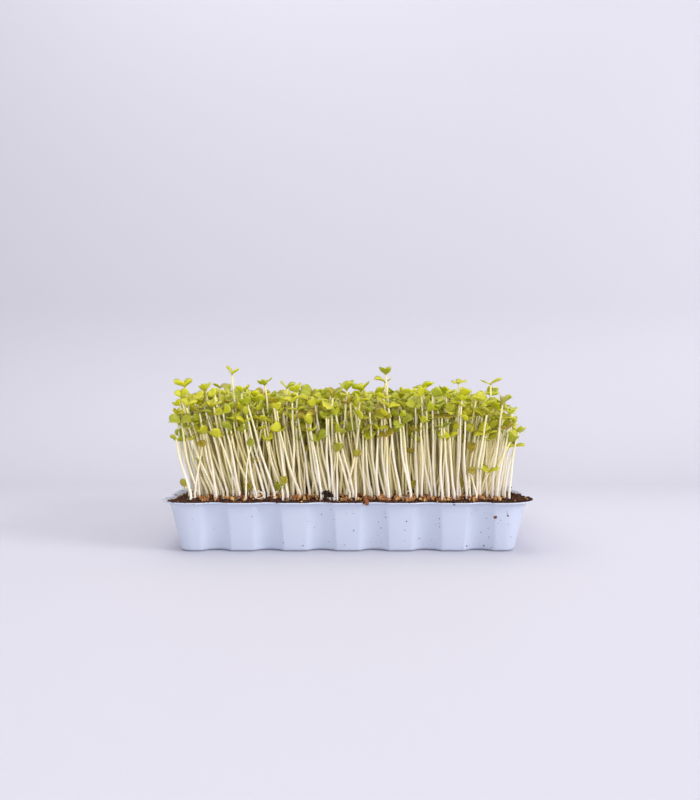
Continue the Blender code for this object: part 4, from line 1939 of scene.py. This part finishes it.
    def grow_late(self, draw: random.Random, stems: Crowd, leaves: Crowd) -> list[Seedling]:
        """The short late seedlings along the front.

        Args:
            draw: the source of random numbers.
            stems: the stems that stand so far, to which the late ones are added.
            leaves: the same for the leaves.

        Returns:
            Those that find room.
        """
        found = []
        foot_jitter, head_jitter = self.late_jitter
        for x, z in self.late:
            for _ in range(self.late_tries):
                foot_x = x * MM + draw.uniform(-1, 1) * foot_jitter
                foot = Vector((foot_x, draw.uniform(*self.late_band)))
                head = Vector((x * MM, foot.y + draw.uniform(-1, 1) * head_jitter, z * MM))
                seedling = self.plan.sprout(draw, foot, head)
                seedling.bow *= self.late_straighter
                seedling.turn = draw.gauss(0.0, self.late_turn)
                seedling.rise = [math.radians(draw.uniform(*self.late_rise)) for _ in range(2)]
                seedling.size = [draw.uniform(*self.late_leaf) for _ in range(2)]
                seedling.tint = draw.uniform(*self.late_tints)
                seedling.stem = self.late_stem
                seedling.root_depth = self.lip_depth
                line = seedling.line(self.stem_samples)[1:]
                if self.plan.inside_rim(seedling) and stems.is_clear(line):
                    stems.add(line)
                    leaves.add(seedling.leaf_points(self.late_spots, self.plan.plain_leaf))
                    found.append(seedling)
                    break
        return found


@dataclass
class Stand:
    """The whole stand of seedlings, one piece for each row of tufts."""

    finishes: Finishes
    plan: TuftPlan
    fill: FillPlan
    tree: SproutTree
    stem_steps: int = 7
    stem_end: float = 0.0009
    taper: float = 0.8
    swelling: float = 1.12
    sway: float = 0.0005
    sway_rise: Pair = (0.0362, 0.050)
    sway_turns: Pair = (9.0, 7.0)
    # The painted khaki glow starts this far inside the stand's edge and is full a rise further in.
    painted_glow_from: float = 0.004
    painted_glow_rise: float = 0.013
    tints: Pair = (0.0, 0.84)
    leaf_tint: float = 0.08
    tall: float = 0.105
    nods: Pair = (0.0, 0.35)
    # The one low seedling of the tufts: its height, turn, leaves and shade.
    low: float = 0.045
    low_turn: float = 0.1
    low_leaf_rise: Pair = (1.35, 1.45)
    low_leaf_size: Pair = (0.66, 0.60)
    low_tint: float = 0.80
    tube_sides: int = 7
    coats: int = 24
    coat_spots: tuple[Pair, ...] = ((0.0, 0.6),)
    coat_sizes: Pair = (0.0016, 0.0022)
    coat_tilt: float = 0.4
    coat_tint: float = 0.05
    coat_tube_sides: int = 3
    seed: int = 62
    leaf_kinds: tuple[LeafShape, ...] = (
        LeafShape(),
        LeafShape(cup=0.0022, arch=0.0020, wave=0.0003, skew=0.0006, width=0.0080),
        LeafShape(cup=0.0004, arch=-0.0004, wave=0.0004, skew=-0.0005, length=0.0076),
        LeafShape(cup=0.0030, arch=0.0006, wave=0.0003, width=0.0070),
        LeafShape(
            cup=0.0014, arch=0.0030, wave=0.0005, skew=0.0009, width=0.0078, length=0.0078
        ),
    )

    def build(self) -> None:
        """Make the seed leaves, then grow each row."""
        draw = random.Random(self.seed)
        leaves = ShapeSet("leaves")
        for number, kind in enumerate(self.leaf_kinds):
            leaves.keep(kind.build(f"leaf {number}"))
        tufts = self.plan.grow()
        rows: list[list[Seedling]] = [[] for _ in range(self.plan.rows)]
        for owner, tuft in enumerate(tufts):
            for seedling in tuft:
                seedling.tint = draw.uniform(*self.tints)
                if seedling.head.z < self.tall:
                    seedling.nod_outward(draw.uniform(*self.nods))
                if seedling.head.z < self.low:
                    seedling.turn = self.low_turn
                    seedling.rise = list(self.low_leaf_rise)
                    seedling.size = list(self.low_leaf_size)
                    seedling.tint = self.low_tint
                rows[owner // self.plan.columns].append(seedling)
        for seedling in self.fill.grow(tufts):
            share = seedling.foot.y / self.plan.span[1] + 0.5
            last = self.plan.rows - 1
            rows[min(last, max(0, round(share * last)))].append(seedling)
        for row, seedlings in enumerate(rows):
            self.build_row(row, seedlings, leaves, draw)
        self.build_coats([seedling for row in rows for seedling in row], draw)
        leaves.discard()

    def wobble(self, place: Vector, key: float) -> Vector:
        """A stem's point, moved a little aside between the soil and the head."""
        start, length = self.sway_rise
        climb = (place.z - start) / length
        sway = self.sway * math.sin(math.pi * min(1.0, max(0.0, climb)))
        key_turns, climb_turns = self.sway_turns
        turn = key_turns * key + climb_turns * climb
        return place + Vector((sway * math.cos(turn), sway * math.sin(turn), 0.0))

    def build_row(
        self, row: int, seedlings: list[Seedling], leaves: ShapeSet, draw: random.Random
    ) -> None:
        """Grow one row of seedlings as one piece.

        Args:
            row: the row's number, from 0 at the front.
            seedlings: its seedlings.
            leaves: the leaves to draw from.
            draw: the source of random numbers.
        """
        placed = Placement()
        for seedling in seedlings:
            line = seedling.line(self.stem_steps)
            line = [self.wobble(place, seedling.tint) for place in line]
            line.append(seedling.head + Vector((0, 0, self.stem_end)))
            last = len(line) - 1
            radii = [blend(*seedling.stem, (n / last) ** self.taper) for n in range(last + 1)]
            radii[-2] *= self.swelling
            # How far inside the stand the stem is, which sets its painted glow of filtered light.
            deep = ramp(self.fill.inset(seedling.foot), self.painted_glow_from, self.painted_glow_rise)
            placed.add_tube(line, radii, seedling.tint, deep)
            for turn, size in zip(seedling.leaf_turns(), seedling.size):
                kind = 0 if seedling.head.z > self.tall else draw.randrange(len(self.leaf_kinds))
                tint = seedling.tint + draw.uniform(-self.leaf_tint, self.leaf_tint)
                tint = min(1.0, max(0.0, tint))
                placed.add_shape(seedling.head, turn, size, kind, tint)
        inputs = {
            "Tube Sides": self.tube_sides,
            "Tube Finish": self.finishes.stem,
            "Shape Finish": self.finishes.leaf,
            "Shapes": leaves.collection,
        }
        piece = placed.grow(f"seedlings_row_{row + 1}", self.tree, inputs)
        self.plan.outline.press_inside(piece)
        first = row * self.plan.columns + 1
        numbers = range(first, first + self.plan.columns)
        nodes = [f"seedlings_{number:02d}" for number in numbers]
        dress(piece, Slot.SEEDLING, tuple(nodes))

    def build_coats(self, seedlings: list[Seedling], draw: random.Random) -> None:
        """Seed coats that still cling to a few leaves."""
        placed = Placement()
        shells = HuskShapes(seed=9).build()
        for seedling in draw.sample(seedlings, self.coats):
            spot = seedling.leaf_points(self.coat_spots, self.plan.plain_leaf)[0]
            tilts = [draw.uniform(-self.coat_tilt, self.coat_tilt) for _ in range(2)]
            turn = Vector((*tilts, draw.uniform(0, math.tau)))
            size = draw.uniform(*self.coat_sizes)
            placed.add_shape(spot, turn, size, draw.randrange(HuskShapes.kinds), self.coat_tint)
        inputs = {
            "Tube Sides": self.coat_tube_sides,
            "Tube Finish": self.finishes.root,
            "Shape Finish": self.finishes.husk,
            "Shapes": shells.collection,
        }
        dress(placed.grow("seed_coats", self.tree, inputs), Slot.SEEDLING)
        shells.discard()


# Stage


@dataclass(frozen=True)
class SoftLight:
    """A square soft light: its place, the length of its sides, its power and its colour."""

    name: str
    place: Point
    size: float
    power: float
    colour: Point


@dataclass(frozen=True)
class Studio:
    """A pale floor, painted lighter than the sweep up behind, soft light from the right, and the
    camera.
    """

    # The floor's colour is painted lighter than the sweep's, a painted pool of light from above.
    floor: Colour = (0.620, 0.610, 0.680, 1.0)
    sweep: Colour = (0.540, 0.532, 0.592, 1.0)
    half_width: float = 3.0
    front: float = -2.5
    sweep_start: float = 0.26
    sweep_radius: float = 0.22
    sweep_steps: int = 16
    top: float = 2.2
    # Where along Y the floor's painted light fades to the sweep's darker colour.
    painted_light_fade: Pair = (0.05, 0.35)
    world_colour: Colour = (0.965, 0.965, 1.0, 1.0)
    world_strength: float = 0.58
    lights: tuple[SoftLight, ...] = (
        SoftLight("key", (2.10, -0.95, 1.00), 1.00, 38.0, (1.0, 0.985, 0.97)),
        SoftLight("fill", (-0.25, -1.60, 0.16), 0.60, 11.0, (0.99, 0.98, 1.0)),
        SoftLight("top", (-0.20, 0.05, 1.20), 0.90, 7.0, (1.0, 0.99, 0.97)),
    )
    aim: Point = (0.0, 0.0, 0.04)
    camera_place: Point = (0.0013, -0.509, 0.0952)
    lens: float = 32.5
    shift_y: float = -0.005

    def build(self) -> None:
        """Make the stage, the lights and the camera."""
        self.build_floor()
        self.build_world()
        bpy.context.scene.view_settings.view_transform = "Standard"
        for light in self.lights:
            self.add_light(light)
        self.add_camera()

    def build_floor(self) -> None:
        """The floor and the sweep behind the tray, as one sheet, with painted light on the floor.
        """
        profile = [(self.front, 0.0), (self.sweep_start, 0.0)]
        for step in range(1, self.sweep_steps + 1):
            angle = step / self.sweep_steps * math.pi / 2
            y = self.sweep_start + self.sweep_radius * math.sin(angle)
            profile.append((y, self.sweep_radius * (1 - math.cos(angle))))
        profile.append((profile[-1][0], self.top))
        points = []
        for y, z in profile:
            points += [Vector((x, y, z)) for x in (-self.half_width, self.half_width)]
        faces = [(2 * n, 2 * n + 1, 2 * n + 3, 2 * n + 2) for n in range(len(profile) - 1)]
        floor = add_mesh("floor", points, faces)
        graph = new_finish("studio paper")
        grain = graph.noise(graph.place(), 700.0)
        depth = graph.add("ShaderNodeSeparateXYZ", None, {"Vector": graph.place()}, "Y")
        # Painted light: the floor's lighter colour fades into the sweep's darker one towards the
        # back.
        colour = graph.mix(self.floor, self.sweep, depth.step(*self.painted_light_fade))
        sockets = {"Base Color": colour, "Roughness": grain * 0.1 + 0.55}
        floor.data.materials.append(close_finish(graph, sockets))

    def build_world(self) -> None:
        """An even pale light from all round."""
        world = bpy.data.worlds.new("studio")
        world.use_nodes = True
        light = world.node_tree.nodes["Background"]
        light.inputs["Color"].default_value = self.world_colour
        light.inputs["Strength"].default_value = self.world_strength
        bpy.context.scene.world = world

    def add_light(self, row: SoftLight) -> None:
        """Hang one of the lights, pointed at the tray."""
        light = bpy.data.lights.new(row.name, "AREA")
        light.energy = row.power
        light.size = row.size
        light.color = row.colour
        lamp = bpy.data.objects.new(row.name, light)
        lamp.location = row.place
        way = Vector(self.aim) - Vector(row.place)
        lamp.rotation_euler = way.to_track_quat("-Z", "Y").to_euler()
        bpy.context.scene.collection.objects.link(lamp)

    def add_camera(self) -> None:
        """A level camera in front of the tray, at the height of the canopy."""
        lens = bpy.data.cameras.new("camera")
        lens.lens = self.lens
        lens.shift_y = self.shift_y
        camera = bpy.data.objects.new("camera", lens)
        camera.location = self.camera_place
        camera.rotation_euler = (math.pi / 2, 0, 0)
        bpy.context.scene.collection.objects.link(camera)
        bpy.context.scene.camera = camera


def main() -> None:
    """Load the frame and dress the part."""
    logging.basicConfig(level=logging.INFO, format="%(message)s")
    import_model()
    finishes = Finishes(
        tray=TrayPlastic().build(),
        soil=PottingSoil().build(),
        husk=SeedHusk().build(),
        stem=SeedlingStem().build(),
        leaf=SeedLeaf().build(),
        root=PaleRoot().build(),
    )
    sprouts, scatter = SproutTree(), ScatterTree()
    tray = Tray(finishes.tray)
    tray.build()
    soil = SoilBed(finishes, scatter)
    soil.build()
    Litter(finishes, tray, soil, sprouts).build()
    plan = TuftPlan(tray.outline)
    Stand(finishes, plan, FillPlan(plan), sprouts).build()
    Studio().build()


if __name__ == "__main__":
    main()
